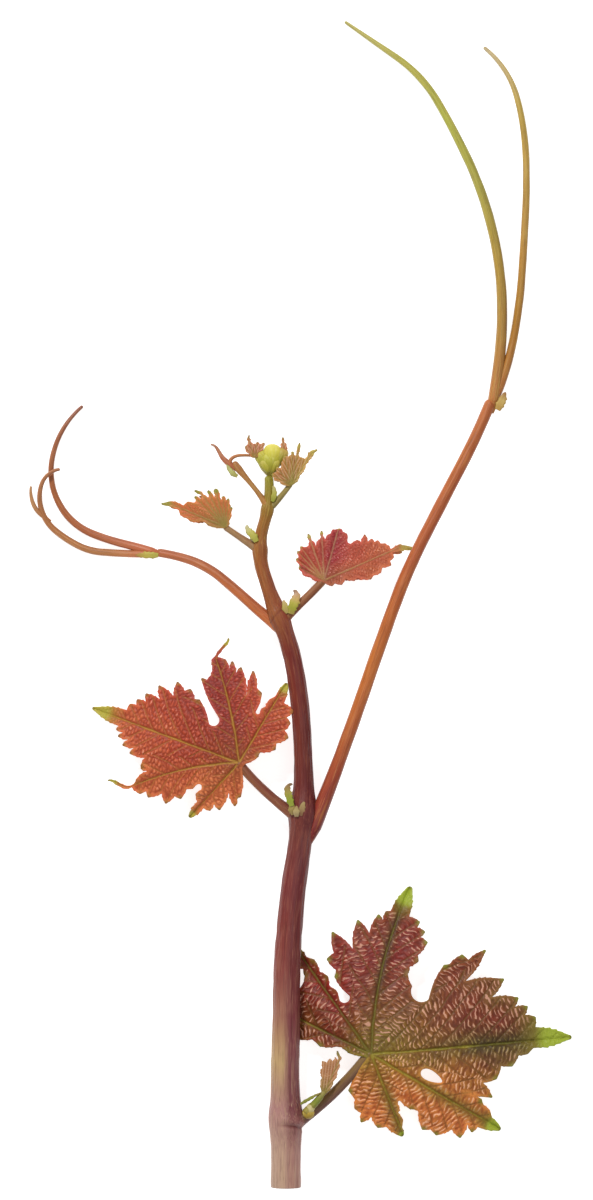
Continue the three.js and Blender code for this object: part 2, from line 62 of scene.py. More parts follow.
# %% Places on the shoot
MM = 0.001
cut_place = next(m for m in frame["record"]["mounts"] if m["name"] == "cut_end")["pos_m"]
CUT = np.array([cut_place[0], cut_place[1], 0.0])


def to_frame(points):
    """Millimetres from the cut to metres in the frame."""
    return np.asarray(points, dtype=float) * MM + CUT


print("the cut is at", cut_place)

# %% [markdown]
# ## Camera
# A lying shoot is looked at from straight above, as on a copy stand. A long lens from more
# than a metre up keeps the tendrils and the leaves in nearly parallel view, so nothing bulges.

# %% Camera straight above
VIEW_HEIGHT = 264.0      # millimetres of table along the picture's long side
CAMERA_RISE = 1200.0     # above the middle of the shoot's thickness
VIEW_MIDDLE = (2.31, 129.36, 5.0)
SENSOR = 36.0
middle = to_frame(VIEW_MIDDLE)
camera = bpy.data.objects.new("camera", bpy.data.cameras.new("camera"))
bpy.context.scene.collection.objects.link(camera)
camera.location = (middle[0], middle[1], middle[2] + CAMERA_RISE * MM)
camera.data.sensor_width = SENSOR
camera.data.lens = SENSOR * CAMERA_RISE / VIEW_HEIGHT
camera.data.clip_end = 10
bpy.context.scene.camera = camera
print("lens", round(camera.data.lens, 1), "mm")

# %% [markdown]
# ## Table and light
# A white table under a big soft light shows the colours of young leaves best. One lamp above
# the tip puts small glints on the blisters of the blades, a larger one softens them from the
# other side, and a bright white world fills the shadows.

# %% Table
FLOOR_HALF = 3.0         # metres
TABLE_GREY = 0.65
TABLE_GLOW = 0.76        # evens out the light on the table


def start_material(name):
    """A new material, its nodes and its surface shader."""
    material = bpy.data.materials.new(name)
    material.use_nodes = True
    return material, material.node_tree, material.node_tree.nodes["Principled BSDF"]


bm = bmesh.new()
bmesh.ops.create_grid(bm, x_segments=1, y_segments=1, size=FLOOR_HALF)
table_mesh = bpy.data.meshes.new("table")
bm.to_mesh(table_mesh)
bm.free()
table = bpy.data.objects.new("table", table_mesh)
bpy.context.scene.collection.objects.link(table)
material, tree, shader = start_material("white_table")
shader.inputs["Base Color"].default_value = (TABLE_GREY, TABLE_GREY, TABLE_GREY, 1)
shader.inputs["Roughness"].default_value = 0.9
shader.inputs["Specular IOR Level"].default_value = 0.0
shader.inputs["Emission Color"].default_value = (1, 1, 1, 1)
shader.inputs["Emission Strength"].default_value = TABLE_GLOW
table_mesh.materials.append(material)
print("the table is", 2 * FLOOR_HALF, "m wide")

# %% Lamps and world
WORLD_LIGHT = 0.46
KEY_LAMP = (-0.3, 0.7, 0.9)
TOP_LAMP = (0.35, -0.2, 1.3)
world = bpy.data.worlds.new("studio")
world.use_nodes = True
world.node_tree.nodes["Background"].inputs["Color"].default_value = (1, 1, 1, 1)
world.node_tree.nodes["Background"].inputs["Strength"].default_value = WORLD_LIGHT
bpy.context.scene.world = world
bpy.context.scene.view_settings.view_transform = "Standard"


def lamp(name, place, size, energy):
    """A square lamp that looks at the shoot. Its place and size are in metres."""
    light = bpy.data.lights.new(name, "AREA")
    light.size = size
    light.energy = energy
    holder = bpy.data.objects.new(name, light)
    bpy.context.scene.collection.objects.link(holder)
    holder.location = place
    holder.rotation_euler = (Vector(place) - Vector(middle)).to_track_quat("Z", "Y").to_euler()


lamp("key_lamp", KEY_LAMP, 0.16, 9.0)
lamp("top_lamp", TOP_LAMP, 0.7, 3.0)
print("the lamps stand", KEY_LAMP[2], "and", TOP_LAMP[2], "m above the table")

# %% [markdown]
# ## Limbs
# Stem, leaf stalks, tendrils and the small scales are all limbs: a round section that is
# carried along a line. A Bézier curve with a bevel would do for plain wires, but bark needs
# ribs, swollen nodes and scars. So a limb is a grid of little squares that is rolled into a
# tube along its walk. The walk starts at a root and turns through a short list of headings,
# as a path is told to a walker: bear 90, then 87, then 84.

# %% Walk along a limb
WALK_STEP = 0.5
HEIGHT_BLUR = 2.0        # heights are evened out over this distance to both sides


def spread(values, t):
    """Value at the fraction t of a list of evenly spaced values."""
    return np.interp(t, np.linspace(0, 1, len(values)), values)


def walk(limb):
    """Points along the middle of a limb, from its sunk root, and the distance walked at each."""
    count = max(12, round(limb["length"] / WALK_STEP))
    stride = limb["length"] / count
    heading = np.radians(spread(limb["headings"], (np.arange(count) + 0.5) / count))
    steps = stride * np.stack([np.cos(heading), np.sin(heading)], axis=1)
    flat = np.vstack([[0, 0], np.cumsum(steps, axis=0)]) + limb["start"]
    height = spread(limb["heights"], np.linspace(0, 1, count + 1))
    reach = max(1, round(HEIGHT_BLUR / stride))
    padded = np.pad(height, reach, mode="edge")
    height = np.convolve(padded, np.ones(2 * reach + 1) / (2 * reach + 1), mode="valid")
    points = np.column_stack([flat, height])
    sink = limb.get("sink", 0.0)
    root = points[0] - sink * np.append(steps[0] / stride, 0)
    return np.vstack([root, points]), np.append(-sink - 1e-6, np.linspace(0, limb["length"], count + 1))


trial = {"start": (0, 0), "length": 10, "headings": [90, 60], "heights": [1, 1]}
print("a walk of 10 mm that turns from 90 to 60 degrees ends at", walk(trial)[0][-1].round(2))

# %% [markdown]
# ## Numbers on a mesh
# A skin starts as a flat grid, which bmesh makes in one call. We then read all its corners as
# one array, work out where each belongs, and put them back, which is much faster than moving
# them one by one. What we learn on the way, such as how far round the limb a corner is, is
# noted on the mesh as an attribute, so that a finish can read it later.

# %% Corners, notes and links
def corners_of(mesh):
    """All corners of a mesh as rows of x, y and z."""
    flat = np.empty(len(mesh.vertices) * 3)
    mesh.vertices.foreach_get("co", flat)
    return flat.reshape(-1, 3)


def put_corners(mesh, points):
    """Moves all corners of a mesh to new places."""
    mesh.vertices.foreach_set("co", np.ascontiguousarray(points, dtype=np.float32).ravel())
    mesh.update()


def note(mesh, name, values):
    """Keeps one number or one vector for every corner, for the materials to read."""
    kind, key = ("FLOAT", "value") if values.ndim == 1 else ("FLOAT_VECTOR", "vector")
    layer = mesh.attributes.new(name, kind, "POINT")
    layer.data.foreach_set(key, np.ascontiguousarray(values, dtype=np.float32).ravel())


def link(name, mesh, material, nodes):
    """Puts a finished piece in the scene: it rides on the shoot and covers its CAD pieces."""
    mesh.shade_smooth()
    mesh.materials.clear()
    mesh.materials.append(material)
    piece = bpy.data.objects.new(name, mesh)
    bpy.context.scene.collection.objects.link(piece)
    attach(piece, "root")
    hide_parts(*nodes)


print("corners of the table:", corners_of(table_mesh).round(1).tolist())

# %% [markdown]
# ## Rolling the skin
# One side of the grid goes round the limb and the other along it. At each place we need three
# directions: ahead, to the side, and up. The radius comes from a short list of values, with
# swellings where leaves grew, a flare at the root, and a rounded end. The seam lies underneath,
# where its two edges are merged, and the ends are closed, so that the skin is one solid.

# %% Roll the skin
FLARE_REACH = 1.1        # the flare at a root fades over this distance
TABLE_CLEAR = 0.03       # nothing comes closer to the table


def limb_radius(limb, along):
    """Radius with swellings and the root's flare. What is sunk below the root gets narrower."""
    radius = spread(limb["radii"], along / limb["length"])
    for at, swell, reach in limb.get("swellings", []):
        radius = radius + swell * np.exp(-(((along - at) / reach) ** 2))
    radius = radius + limb.get("flare", 0.0) * np.exp(-np.maximum(along, 0) / FLARE_REACH)
    return radius * (1 + limb.get("narrow", 0.0) * np.minimum(along, 0))


def roll_limb(name, limb, around, ring, relief=None, first=None):
    """Rolls a grid into a tube: `around` faces round it, each about `ring` long.

    relief lifts the skin and marks scars. first is where the skin starts along the limb.
    """
    first = -limb.get("sink", 0.0) if first is None else first
    tip_radius = limb["radii"][-1]
    rings = max(4, round((limb["length"] - first) / ring))
    body = np.linspace(first, limb["length"] - tip_radius, rings)
    cap = limb["length"] - tip_radius * (1 - np.sin(np.linspace(0, math.pi / 2, 7)[1:]))
    places = np.append(body, cap)
    bm = bmesh.new()
    bmesh.ops.create_grid(bm, x_segments=around, y_segments=len(places) - 1, size=1)
    mesh = bpy.data.meshes.new(name)
    bm.to_mesh(mesh)
    bm.free()

    flat = corners_of(mesh)
    along = places[np.rint((flat[:, 1] + 1) / 2 * (len(places) - 1)).astype(int)]
    turn = flat[:, 0] * math.pi
    line, walked = walk(limb)
    centre = np.column_stack([np.interp(along, walked, line[:, k]) for k in range(3)])
    slope = np.gradient(line, walked, axis=0)
    ahead = np.column_stack([np.interp(along, walked, slope[:, k]) for k in range(3)])
    ahead /= np.linalg.norm(ahead, axis=1)[:, None]
    side = np.cross(ahead, [0, 0, 1])
    side /= np.linalg.norm(side, axis=1)[:, None]
    top = np.cross(side, ahead)

    past = np.clip((along - (limb["length"] - tip_radius)) / tip_radius, 0, 1)
    radius = limb_radius(limb, along) * np.sqrt(np.maximum(1 - past ** 2, 0.0004))
    scar = np.zeros(len(along))
    if relief:
        lift, scar = relief(along, turn, radius)
        radius = radius + lift * np.sqrt(1 - past ** 2)
    across = np.sin(turn) * radius
    up = np.cos(turn) * radius * limb.get("flat", 1.0)
    points = centre + side * across[:, None] + top * up[:, None]
    if first > 0:
        points[along == first, 1] = 0.0
    points[:, 2] = np.maximum(points[:, 2], TABLE_CLEAR)
    put_corners(mesh, to_frame(points))
    note(mesh, "grain", np.column_stack([across, up, along]))
    note(mesh, "scar", scar)
    close_tube(mesh)
    return mesh


def close_tube(mesh):
    """Joins the seam, closes both ends and turns the faces outwards."""
    bm = bmesh.new()
    bm.from_mesh(mesh)
    bmesh.ops.remove_doubles(bm, verts=bm.verts, dist=0.003 * MM)
    bmesh.ops.holes_fill(bm, edges=[e for e in bm.edges if e.is_boundary], sides=0)
    bmesh.ops.recalc_face_normals(bm, faces=bm.faces)
    bm.to_mesh(mesh)
    bm.free()


print("skins stay", TABLE_CLEAR, "mm above the table")

# %% [markdown]
# ## Smooth noise
# Nothing on a plant is quite even. Noise made of random numbers on a coarse lattice, eased from
# one to the next, gives bumps of a chosen size. The seed is fixed, so every run grows the same
# shoot. Round a limb the noise has to meet itself at the seam, so it is read on a circle.

# %% Smooth noise
def soft_noise(x, y, size, seed):
    """Smooth noise between -1 and 1, with bumps about `size` across."""
    table = np.random.RandomState(seed).uniform(-1, 1, (64, 64))
    u, v = np.asarray(x) / size, np.asarray(y) / size
    i, j = np.floor(u).astype(int), np.floor(v).astype(int)
    fu, fv = u - i, v - j
    fu, fv = fu * fu * (3 - 2 * fu), fv * fv * (3 - 2 * fv)
    low = table[i % 64, j % 64] * (1 - fu) + table[(i + 1) % 64, j % 64] * fu
    high = table[i % 64, (j + 1) % 64] * (1 - fu) + table[(i + 1) % 64, (j + 1) % 64] * fu
    return low * (1 - fv) + high * fv


def round_noise(turn, along, size, stretched, seed):
    """Smooth noise on a limb's skin that meets itself at the seam."""
    first = soft_noise(np.cos(turn) + 0.13 * along / stretched, along / stretched, size, seed)
    second = soft_noise(np.sin(turn), along / stretched + 7.7, size, seed + 100)
    return (first + second) / 1.4


trial = soft_noise(np.arange(100), 0, 3, 1)
print("noise runs from", trial.min().round(2), "to", trial.max().round(2))

# %% [markdown]
# ## Colours and nodes
# A finish is a small network of nodes: some give a pattern, others mix colours by it, and the
# last is the surface shader. Wiring each by hand takes many lines, so every kind of node that
# we need gets a short function, which makes it, sets its inputs and returns its output.

# %% Colours and nodes
def paint(code):
    """A colour written as #rrggbb, in the linear values that Blender's sockets take."""
    parts = [int(code[i:i + 2], 16) / 255 for i in (1, 3, 5)]
    linear = [v / 12.92 if v <= 0.04045 else ((v + 0.055) / 1.055) ** 2.4 for v in parts]
    return (*linear, 1.0)


def add(tree, kind, inputs=None, **settings):
    """A node with its settings, and its inputs set to values or linked to sockets."""
    made = tree.nodes.new(kind)
    for key, value in settings.items():
        setattr(made, key, value)
    for key, value in (inputs or {}).items():
        if isinstance(value, bpy.types.NodeSocket):
            tree.links.new(value, made.inputs[key])
        else:
            made.inputs[key].default_value = value
    return made


def mix(tree, factor, first, second, blend="MIX"):
    """Two colours mixed; returns the colour socket."""
    inputs = {0: factor, 6: first, 7: second}
    return add(tree, "ShaderNodeMix", inputs, data_type="RGBA", blend_type=blend).outputs[2]


def ramp(tree, factor, stops):
    """A colour ramp with stops of (place, colour); returns the colour socket."""
    made = add(tree, "ShaderNodeValToRGB", {"Fac": factor})
    elements = made.color_ramp.elements
    elements.remove(elements[1])
    elements[0].position = stops[0][0]
    elements[0].color = stops[0][1]
    for place, colour in stops[1:]:
        elements.new(place).color = colour
    return made.outputs["Color"]


def even_ramp(tree, factor, codes):
    """A colour ramp through evenly spaced colours, written as #rrggbb."""
    stops = [(i / max(1, len(codes) - 1), paint(code)) for i, code in enumerate(codes)]
    return ramp(tree, factor, stops)


def math_node(tree, operation, first, second=0.0, third=0.0):
    """A sum, product or other operation on up to three values."""
    inputs = {0: first, 1: second, 2: third}
    return add(tree, "ShaderNodeMath", inputs, operation=operation).outputs[0]


def times(tree, first, second):
    """The product of two values."""
    return math_node(tree, "MULTIPLY", first, second)


def shift(tree, value, low, high, to_low=0.0, to_high=1.0):
    """A value moved from one range to another, smoothly eased and kept inside."""
    inputs = {"Value": value, "From Min": low, "From Max": high, "To Min": to_low, "To Max": to_high}
    return add(tree, "ShaderNodeMapRange", inputs, interpolation_type="SMOOTHSTEP").outputs[0]


def read(tree, name, output="Fac"):
    """The value of a mesh attribute."""
    return add(tree, "ShaderNodeAttribute", attribute_name=name).outputs[output]


def stretch(tree, vector, scale):
    """A place scaled by another factor along x, y and z."""
    return add(tree, "ShaderNodeMapping", {"Vector": vector, "Scale": scale}).outputs[0]


def millimetres(tree):
    """The place on the piece, in millimetres."""
    return stretch(tree, add(tree, "ShaderNodeTexCoord").outputs["Object"], (1 / MM, 1 / MM, 1 / MM))


def noise(tree, vector, scale, detail=3.0, roughness=0.55):
    """Cloudy noise, from 0 to 1."""
    inputs = {"Vector": vector, "Scale": scale, "Detail": detail, "Roughness": roughness}
    return add(tree, "ShaderNodeTexNoise", inputs).outputs["Fac"]


def bump(tree, height, strength, distance):
    """The direction of a surface that a height dents, for the Normal input."""
    inputs = {"Height": height, "Strength": strength, "Distance": distance}
    return add(tree, "ShaderNodeBump", inputs).outputs[0]


print("wine red in linear values:", [round(v, 3) for v in paint("#6e2828")])

# %% [markdown]
# ## Stem
# The stem is a young cane: mauve and cream where it is oldest, wine red along the middle, and
# olive near the tip. Its bark has fine lengthwise ribs, and it swells at each node, where a
# leaf stalk or a tendril leaves it and a scar ridge crosses. We keep for every corner of the
# mesh how far along and how far round it is, so that the bark's streaks follow its bends.

# %% Bark finish
SKIN_SHEEN = 0.28        # specular level of living skin
# Near black for the painted shade in the bark's grooves and for its dark fine lines.
GROOVE_SHADE = (0.05, 0.012, 0.012, 1)


def bark(name, left, right, streaks, gloss=0.42, strength=0.5, thread=0.55):
    """Skin of a limb: rows of colours from root to tip, for both sides and for the streaks.

    gloss is its roughness, strength that of its ridges, and thread how clear its threads are.
    """
    material, tree, shader = start_material(name)
    grain = read(tree, "grain", "Vector")
    parts = add(tree, "ShaderNodeSeparateXYZ", {0: grain})
    share = read(tree, "share")
    fibres = noise(tree, stretch(tree, grain, (1.0, 1.0, 0.05)), 2.1, 5.0)
    fine = noise(tree, stretch(tree, grain, (1.0, 1.0, 0.035)), 5.5, 3.0)
    threads = noise(tree, stretch(tree, grain, (1.0, 1.0, 0.022)), 6.0, 3.0)
    patches = noise(tree, stretch(tree, grain, (0.5, 0.5, 0.16)), 1.0, 2.0)

    rows = [even_ramp(tree, share, colours) for colours in (left, right)]
    side = math_node(tree, "ADD", parts.outputs[0], times(tree, fibres, 2.4))
    # Across the limb from the left row to the right: partly the skin's own colours, partly painted light on
    # the left side and painted shade on the right.
    colour = mix(tree, shift(tree, side, 0.4, 2.2), rows[0], rows[1])
    light = shift(tree, math_node(tree, "ADD", fibres, times(tree, patches, 0.5)), 0.72, 1.06)
    bright = shift(tree, threads, 0.54, 0.72, 0.0, thread)
    light = math_node(tree, "MAXIMUM", times(tree, light, 0.42), bright)
    colour = mix(tree, light, colour, even_ramp(tree, share, streaks))
    # Painted shade in the grooves where the fibres sink, together with the bark's own dark fine lines.
    dark = math_node(tree, "MAXIMUM", shift(tree, fine, 0.52, 0.72), shift(tree, fibres, 0.46, 0.3))
    colour = mix(tree, times(tree, dark, 0.65 * thread), colour, GROOVE_SHADE)
    colour = mix(tree, read(tree, "scar"), colour, paint("#5a1519"))
    tree.links.new(colour, shader.inputs["Base Color"])

    rough = shift(tree, fibres, 0.3, 0.7, gloss - 0.06, gloss + 0.14)
    tree.links.new(rough, shader.inputs["Roughness"])
    ridges = math_node(tree, "ADD", fibres, times(tree, fine, 0.4))
    tree.links.new(bump(tree, ridges, strength, 0.12 * MM), shader.inputs["Normal"])
    shader.inputs["Specular IOR Level"].default_value = SKIN_SHEEN
    return material


print("skin sheen is", SKIN_SHEEN)

# %% Stem and the relief of its bark
# Where the stem swells: how far from the cut, by how much, and over what distance.
NODE_PLACES = [(17, 0.6, 4), (85, 0.85, 3.6), (128.5, 0.6, 3), (144, 0.3, 1.8), (153, 0.3, 1.6)]
CUT_AWAY = 2.0           # the walk starts behind the cut, so that the cut end is square
STEM = {
    "start": (0, -CUT_AWAY), "length": 158.5 + CUT_AWAY,
    "headings": [91, 89, 92, 88, 90, 87, 84, 81, 87, 92, 95, 101, 113, 106, 72, 97],
    "heights": [3.15, 4.9, 6.3, 6.9, 7.3, 7.6, 7.8, 8, 8],
    "radii": [3.3, 3.25, 3.2, 3.1, 3, 2.9, 2.8, 2.68, 2.5, 2.15, 2.0, 1.95, 1.95, 1.6, 1.45, 1.2, 0.9],
    "swellings": NODE_PLACES,
}

# Each scar: where, how much it leans, how wide, how high, and its side: 1 right, -1 left, 0 both.
SCARS = [(17.4, -0.4, 0.75, 0.42, 1), (85.2, -0.7, 0.5, 0.2, -1), (130, 0.9, 0.4, 0.14, 0)]


def stem_relief(along, turn, radius):
    """Ribs along the stem, and a curved ridge with a dark line under it at the old nodes."""
    wander = 0.35 * soft_noise(along, turn * 0, 22, 3)
    ribs = 0.05 * np.cos(11 * (turn + wander)) + 0.035 * np.cos(19 * (turn - wander) + 1)
    worn = 0.06 * round_noise(turn, along, 1.2, 3, 5) + 0.03 * round_noise(turn, along, 0.35, 5, 6)
    scar = np.zeros(len(along))
    ridge = np.zeros(len(along))
    for at, lean, width, depth, hand in SCARS:
        bent = along - (at + lean * np.sin(turn) - 0.8 * (1 - np.cos(turn)))
        half = np.clip(np.cos(turn / 2) * 1.3 - 0.15, 0, 1) * np.clip(0.6 + np.sin(turn) * hand, 0, 1)
        ridge += depth * half * np.exp(-((bent / width) ** 2))
        ridge -= 0.7 * depth * half * np.exp(-(((bent + 1.5 * width) / (0.6 * width)) ** 2))
        scar += 0.8 * half * np.exp(-(((bent + 1.5 * width) / (0.45 * width)) ** 2))
    return ribs + worn + ridge, np.clip(scar, 0, 1)


def add_share(mesh, limb):
    """Notes how far each corner is from root to tip, from 0 to 1."""
    flat = np.empty(len(mesh.vertices) * 3)
    mesh.attributes["grain"].data.foreach_get("vector", flat)
    note(mesh, "share", np.clip(flat.reshape(-1, 3)[:, 2] / limb["length"], 0, 1))


print("the stem is", STEM["length"] - CUT_AWAY, "mm long and has", len(NODE_PLACES), "nodes")

# %% [markdown]
# ### Colours of the stem
# The skin has two rows of colours from the cut to the tip, one for its left side and one for
# its right, and a third for the pale streaks between the ribs. The right row is darker than the
# left: partly the bark's own tan, partly painted light on the left and painted shade on the right.

# %% Stem with its colours
STEM_LEFT = [
    "#b4947e", "#b5927e", "#a4756f", "#bb9a6a", "#96624f", "#803c36", "#7a322c", "#6e2828",
    "#70342c", "#6a2620", "#6c281c", "#72281c", "#70261c", "#905028", "#985628", "#986428", "#8e8c2a",
]
STEM_STREAKS = ["#cfb08c", "#c8a684", "#b07c60", "#a0604c", "#985840", "#9c5c38", "#a87840", "#a8a044"]
STEM_RIGHT = [
    "#a5796b", "#a1736a", "#763e42", "#7c4448", "#713034", "#682828", "#642424", "#602024",
    "#602626", "#5a1c1e", "#5a1c1a", "#5e1c1a", "#66201c", "#843e28", "#884826", "#8a5a22", "#8a8626",
]
stem_mesh = roll_limb("stem_bark", STEM, 72, 0.3, stem_relief, first=CUT_AWAY)
add_share(stem_mesh, STEM)
stem_bark = bark("stem_bark", STEM_LEFT, STEM_RIGHT, STEM_STREAKS)
link("stem_bark", stem_mesh, stem_bark, ["stem"])
print("stem_bark has", len(stem_mesh.polygons), "faces")

# %% [markdown]
# ## Leaf stalks and tendrils
# A leaf stalk is firm and nearly round, flared where it grows out of the stem. A tendril is a
# leaf stalk's thin cousin that forks and curls. Both sink a little into what they grow from,
# so that no gap shows at the joint, and each keeps its own row of colours from root to tip.

# %% Shapes of stalks and tendrils
def limb(start, length, headings, heights, radii, sink=1.0, flare=0.35, **more):
    return {
        "start": start, "length": length, "headings": headings, "heights": heights,
        "radii": radii, "sink": sink, "flare": flare, **more,
    }


# Each has a start, a length, headings, heights and radii, how far its root sinks into what it
# grows from, and the flare there. narrow is how much thinner the sunk root gets per millimetre.
LIMBS = {
    "petiole_1": limb((2.6, 14.6), 22.8, [33, 46, 51], [4.6, 5.4, 6.6, 7.3], [1.35, 1.15, 1.1, 1.15]),
    "petiole_2": limb((2, 82.1), 17.6, [145, 137, 128], [7.4, 8.2, 8.5], [1.3, 1.05, 1.0, 1.05]),
    "petiole_3": limb((-0.2, 125.6), 12, [40, 44, 48], [8, 8.3, 8.2], [1.15, 0.95, 0.9, 0.9]),
    "petiole_4": limb(
        (-7, 141.1), 8.0, [147, 146, 145], [7.8, 8.2, 7.9], [0.9, 0.7, 0.66], 2.2, 0.15, narrow=0.2),
    "petiole_5": limb(
        (-2.9, 150.2), 6.3, [44, 50, 54], [8, 8.7, 9.2], [0.76, 0.6, 0.56], 2.0, 0.1, narrow=0.2),
    "tendril_right_stalk": limb(
        (6.1, 79.7), 101.8, [68, 70, 71, 70, 63, 62, 68], [7.3, 9.2, 8.6, 7.6, 6.4, 5],
        [1.75, 1.5, 1.45, 1.4, 1.35, 1.3, 1.25], 4.5, 0.0, narrow=0.1),
    "tendril_right_long_arm": limb(
        (45.7, 173.4), 96, [80, 86, 96, 106, 115, 120, 145, 145],
        [5, 4.4, 4.6, 5, 4, 2.4, 0.75], [1.3, 1.2, 1.1, 1.05, 0.95, 0.85, 0.7, 0.35], 3, 0.0, narrow=0.2),
    "tendril_right_short_arm": limb(
        (46.2, 174.2), 80.5, [67, 79, 86, 87, 92, 105, 141], [5, 4, 4.4, 4.6, 3.4, 0.75],
        [1.0, 0.9, 0.88, 0.82, 0.76, 0.68, 0.4], 3, 0.0, narrow=0.2),
    "tendril_left_stalk": limb(
        (-2.2, 124), 31.5, [142, 138, 140, 161, 173], [6.6, 7.2, 5.8, 4.2, 3],
        [1.3, 1.15, 1.1, 1.0, 0.95], 2.0, 0.2),
    "tendril_left_long_arm": limb(
        (-29.6, 140.1), 47.8, [164, 166, 158, 131, 105, 79, 60, 40],
        [3, 2.2, 1.6, 1.2, 1, 1, 1.2, 0.6],
        [0.92, 0.9, 0.86, 0.78, 0.66, 0.6, 0.5, 0.36], 3, 0.0, narrow=0.22),
    "tendril_left_lower_arm": limb(
        (-29.5, 139.6), 39.5, [182, 178, 175, 152, 141, 107, 72, 6],
        [3, 2.6, 2, 1.6, 1.4, 1.4, 2.6, 3.2],
        [0.86, 0.8, 0.8, 0.78, 0.72, 0.62, 0.5, 0.34], 3, 0.0, narrow=0.22),
    "tendril_left_twig": limb(
        (-53.2, 147.6), 8, [150, 112, 82], [1.4, 1.6, 1.8], [0.5, 0.48, 0.25], 1.6, 0.0, narrow=0.35),
    "tendril_tip_stalk": limb(
        (-4.3, 150.4), 11.8, [125, 128, 131, 124], [8, 8.5, 8.6, 8.5],
        [0.7, 0.58, 0.52, 0.54, 0.66, 0.86, 0.7]),
    "tendril_tip_outer_arm": limb(
        (-12.1, 158.9), 6.6, [141, 138, 118, 122, 178], [8.5, 8.3, 8.0],
        [0.74, 0.6, 0.46, 0.36, 0.18], 1.8, 0.0, narrow=0.3),
    "tendril_tip_inner_arm": limb(
        (-12.3, 159.3), 6.6, [95, 28, 2, -3, -3], [8.7, 8.9, 8.8],
        [0.46, 0.36, 0.32, 0.28], 1.2, 0.0, narrow=0.4),
    "lateral_stalk": limb(
        (5.0, 17.5), 5.4, [44, 50, 54], [7.4, 8.1, 8.2], [0.85, 0.75, 0.7, 0.5], 1.0, 0.1),
}
print("the longest limb is", max(LIMBS, key=lambda each: LIMBS[each]["length"]))

# %% [markdown]
# ### Colours of stalks and tendrils
# Stalks are tanned like the stem. A tendril runs from orange red at its root to olive or straw
# at its tip, which is its youngest part. Every one gets rows of colours of its own, because
# the colours of two neighbours are never quite the same.

# %% Colours of stalks and tendrils
# Colours from root to tip: the left side, lighter and partly painted light, the right side,
# darker and partly painted shade, the streaks, and the record's slot.
LIMB_COLOURS = {
    "petiole_1": (
        ["#765733", "#7c5f37", "#80633a"], ["#6c4a4a", "#6a4640", "#70503a"], "#a08448", "leaf_stalk"),
    "petiole_2": (
        ["#87503a", "#8a4f36", "#8f5a38"], ["#6f3329", "#70352b", "#7c4430"], "#b5885a", "leaf_stalk"),
    "petiole_3": (
        ["#a06a40", "#8a5431", "#905a36"], ["#7c452a", "#763f28", "#80492c"], "#b8894f", "leaf_stalk"),
    "petiole_4": (["#a07d56", "#9a7753"], ["#8a5f40", "#8c6440"], "#b99c66", "leaf_stalk"),
    "petiole_5": (["#958349", "#98864a"], ["#80703c", "#84743c"], "#b3a35c", "leaf_stalk"),
    "tendril_right_stalk": (
        ["#84282a", "#a44a2c", "#b4602c", "#bc6a2c", "#b4602c", "#ac562c", "#ae5c2e", "#b06230", "#b26638"],
        ["#6c2022", "#8c3a24", "#9c5026", "#a65a28", "#a05226", "#964626", "#984a28", "#984c28", "#9c562e"],
        "#cc884c", "tendril_skin"),
    "tendril_right_long_arm": (
        ["#b4703a", "#a87f3c", "#ac8c3c", "#a69e48", "#aaaa48", "#b0a850", "#b8b06c"],
        ["#98602f", "#946c32", "#967a34", "#90883c", "#94943c", "#9a9444", "#a89e58"],
        "#c4b060", "tendril_skin"),
    "tendril_right_short_arm": (
        ["#b06a34", "#a87428", "#b6873f", "#b48c42", "#b49848", "#c3b088"],
        ["#985a2c", "#906224", "#9c7434", "#9c7a38", "#9e863c", "#b09c70"],
        "#c8ac60", "tendril_skin"),
    "tendril_left_stalk": (
        ["#c46834", "#ba6636", "#b6663e", "#bc6c46"], ["#a4502c", "#9c5434", "#9a5638", "#a45c3a"],
        "#dca070", "tendril_skin"),
    "tendril_left_long_arm": (
        ["#c8704c", "#ba6c48", "#b26640", "#a86238", "#a05e38", "#9a5c3c", "#905844"],
        ["#ac5c3e", "#a05838", "#965232", "#8c502c", "#864c2c", "#804a2e", "#784634"],
        "#d09468", "tendril_skin"),
    "tendril_left_lower_arm": (
        ["#d07a54", "#b87a4a", "#b37647", "#ac7044", "#a86c48"],
        ["#b4643f", "#9c643a", "#986038", "#905c38", "#8e5a3c"], "#d4a070", "tendril_skin"),
    "tendril_left_twig": (
        ["#b07448", "#b88858"], ["#96603c", "#a07448"], "#d0a070", "tendril_skin"),
    "tendril_tip_stalk": (["#b07c40", "#b07a44"], ["#96642f", "#985f34"], "#d0b070", "young_stalk"),
    "tendril_tip_outer_arm": (
        ["#b46844", "#b0684a", "#a8785c"], ["#9c5438", "#985a40", "#90644c"], "#d09c70", "young_stalk"),
    "tendril_tip_inner_arm": (
        ["#b06c40", "#b87c48"], ["#985834", "#9c6438"], "#d0a468", "young_stalk"),
    "lateral_stalk": (
        ["#a09444", "#7c8a2c", "#98854c"], ["#80602c", "#6f7a26", "#8a7a3c"], "#b0a860", "young_stalk"),
}


def stalk_relief(along, turn, radius):
    """Fine ribs and uneven wear, and no scars."""
    ribs = 0.03 * np.cos(7 * turn + 0.4 * soft_noise(along, turn * 0, 14, 8))
    worn = 0.04 * round_noise(turn, along, 1.2, 3, 9)
    return (ribs + worn) * np.minimum(radius, 1), np.zeros(len(along))


def nodes_of(name):
    """The CAD pieces of a limb: the one of its name, or its parts, such as low and high."""
    return [node for node in sorted(frame["nodes"]) if node == name or node.startswith(name + "_")]


for name, shape in LIMBS.items():
    left, right, streak, slot = LIMB_COLOURS[name]
    around = 28 if shape["radii"][0] > 1 else 20
    mesh = roll_limb(name + "_skin", shape, around, 0.35, stalk_relief)
    add_share(mesh, shape)
    skin = bark(name + "_skin", left, right, [streak], 0.38, 0.35)
    link(name + "_skin", mesh, skin, nodes_of(name))
print("limbs:", len(LIMBS))

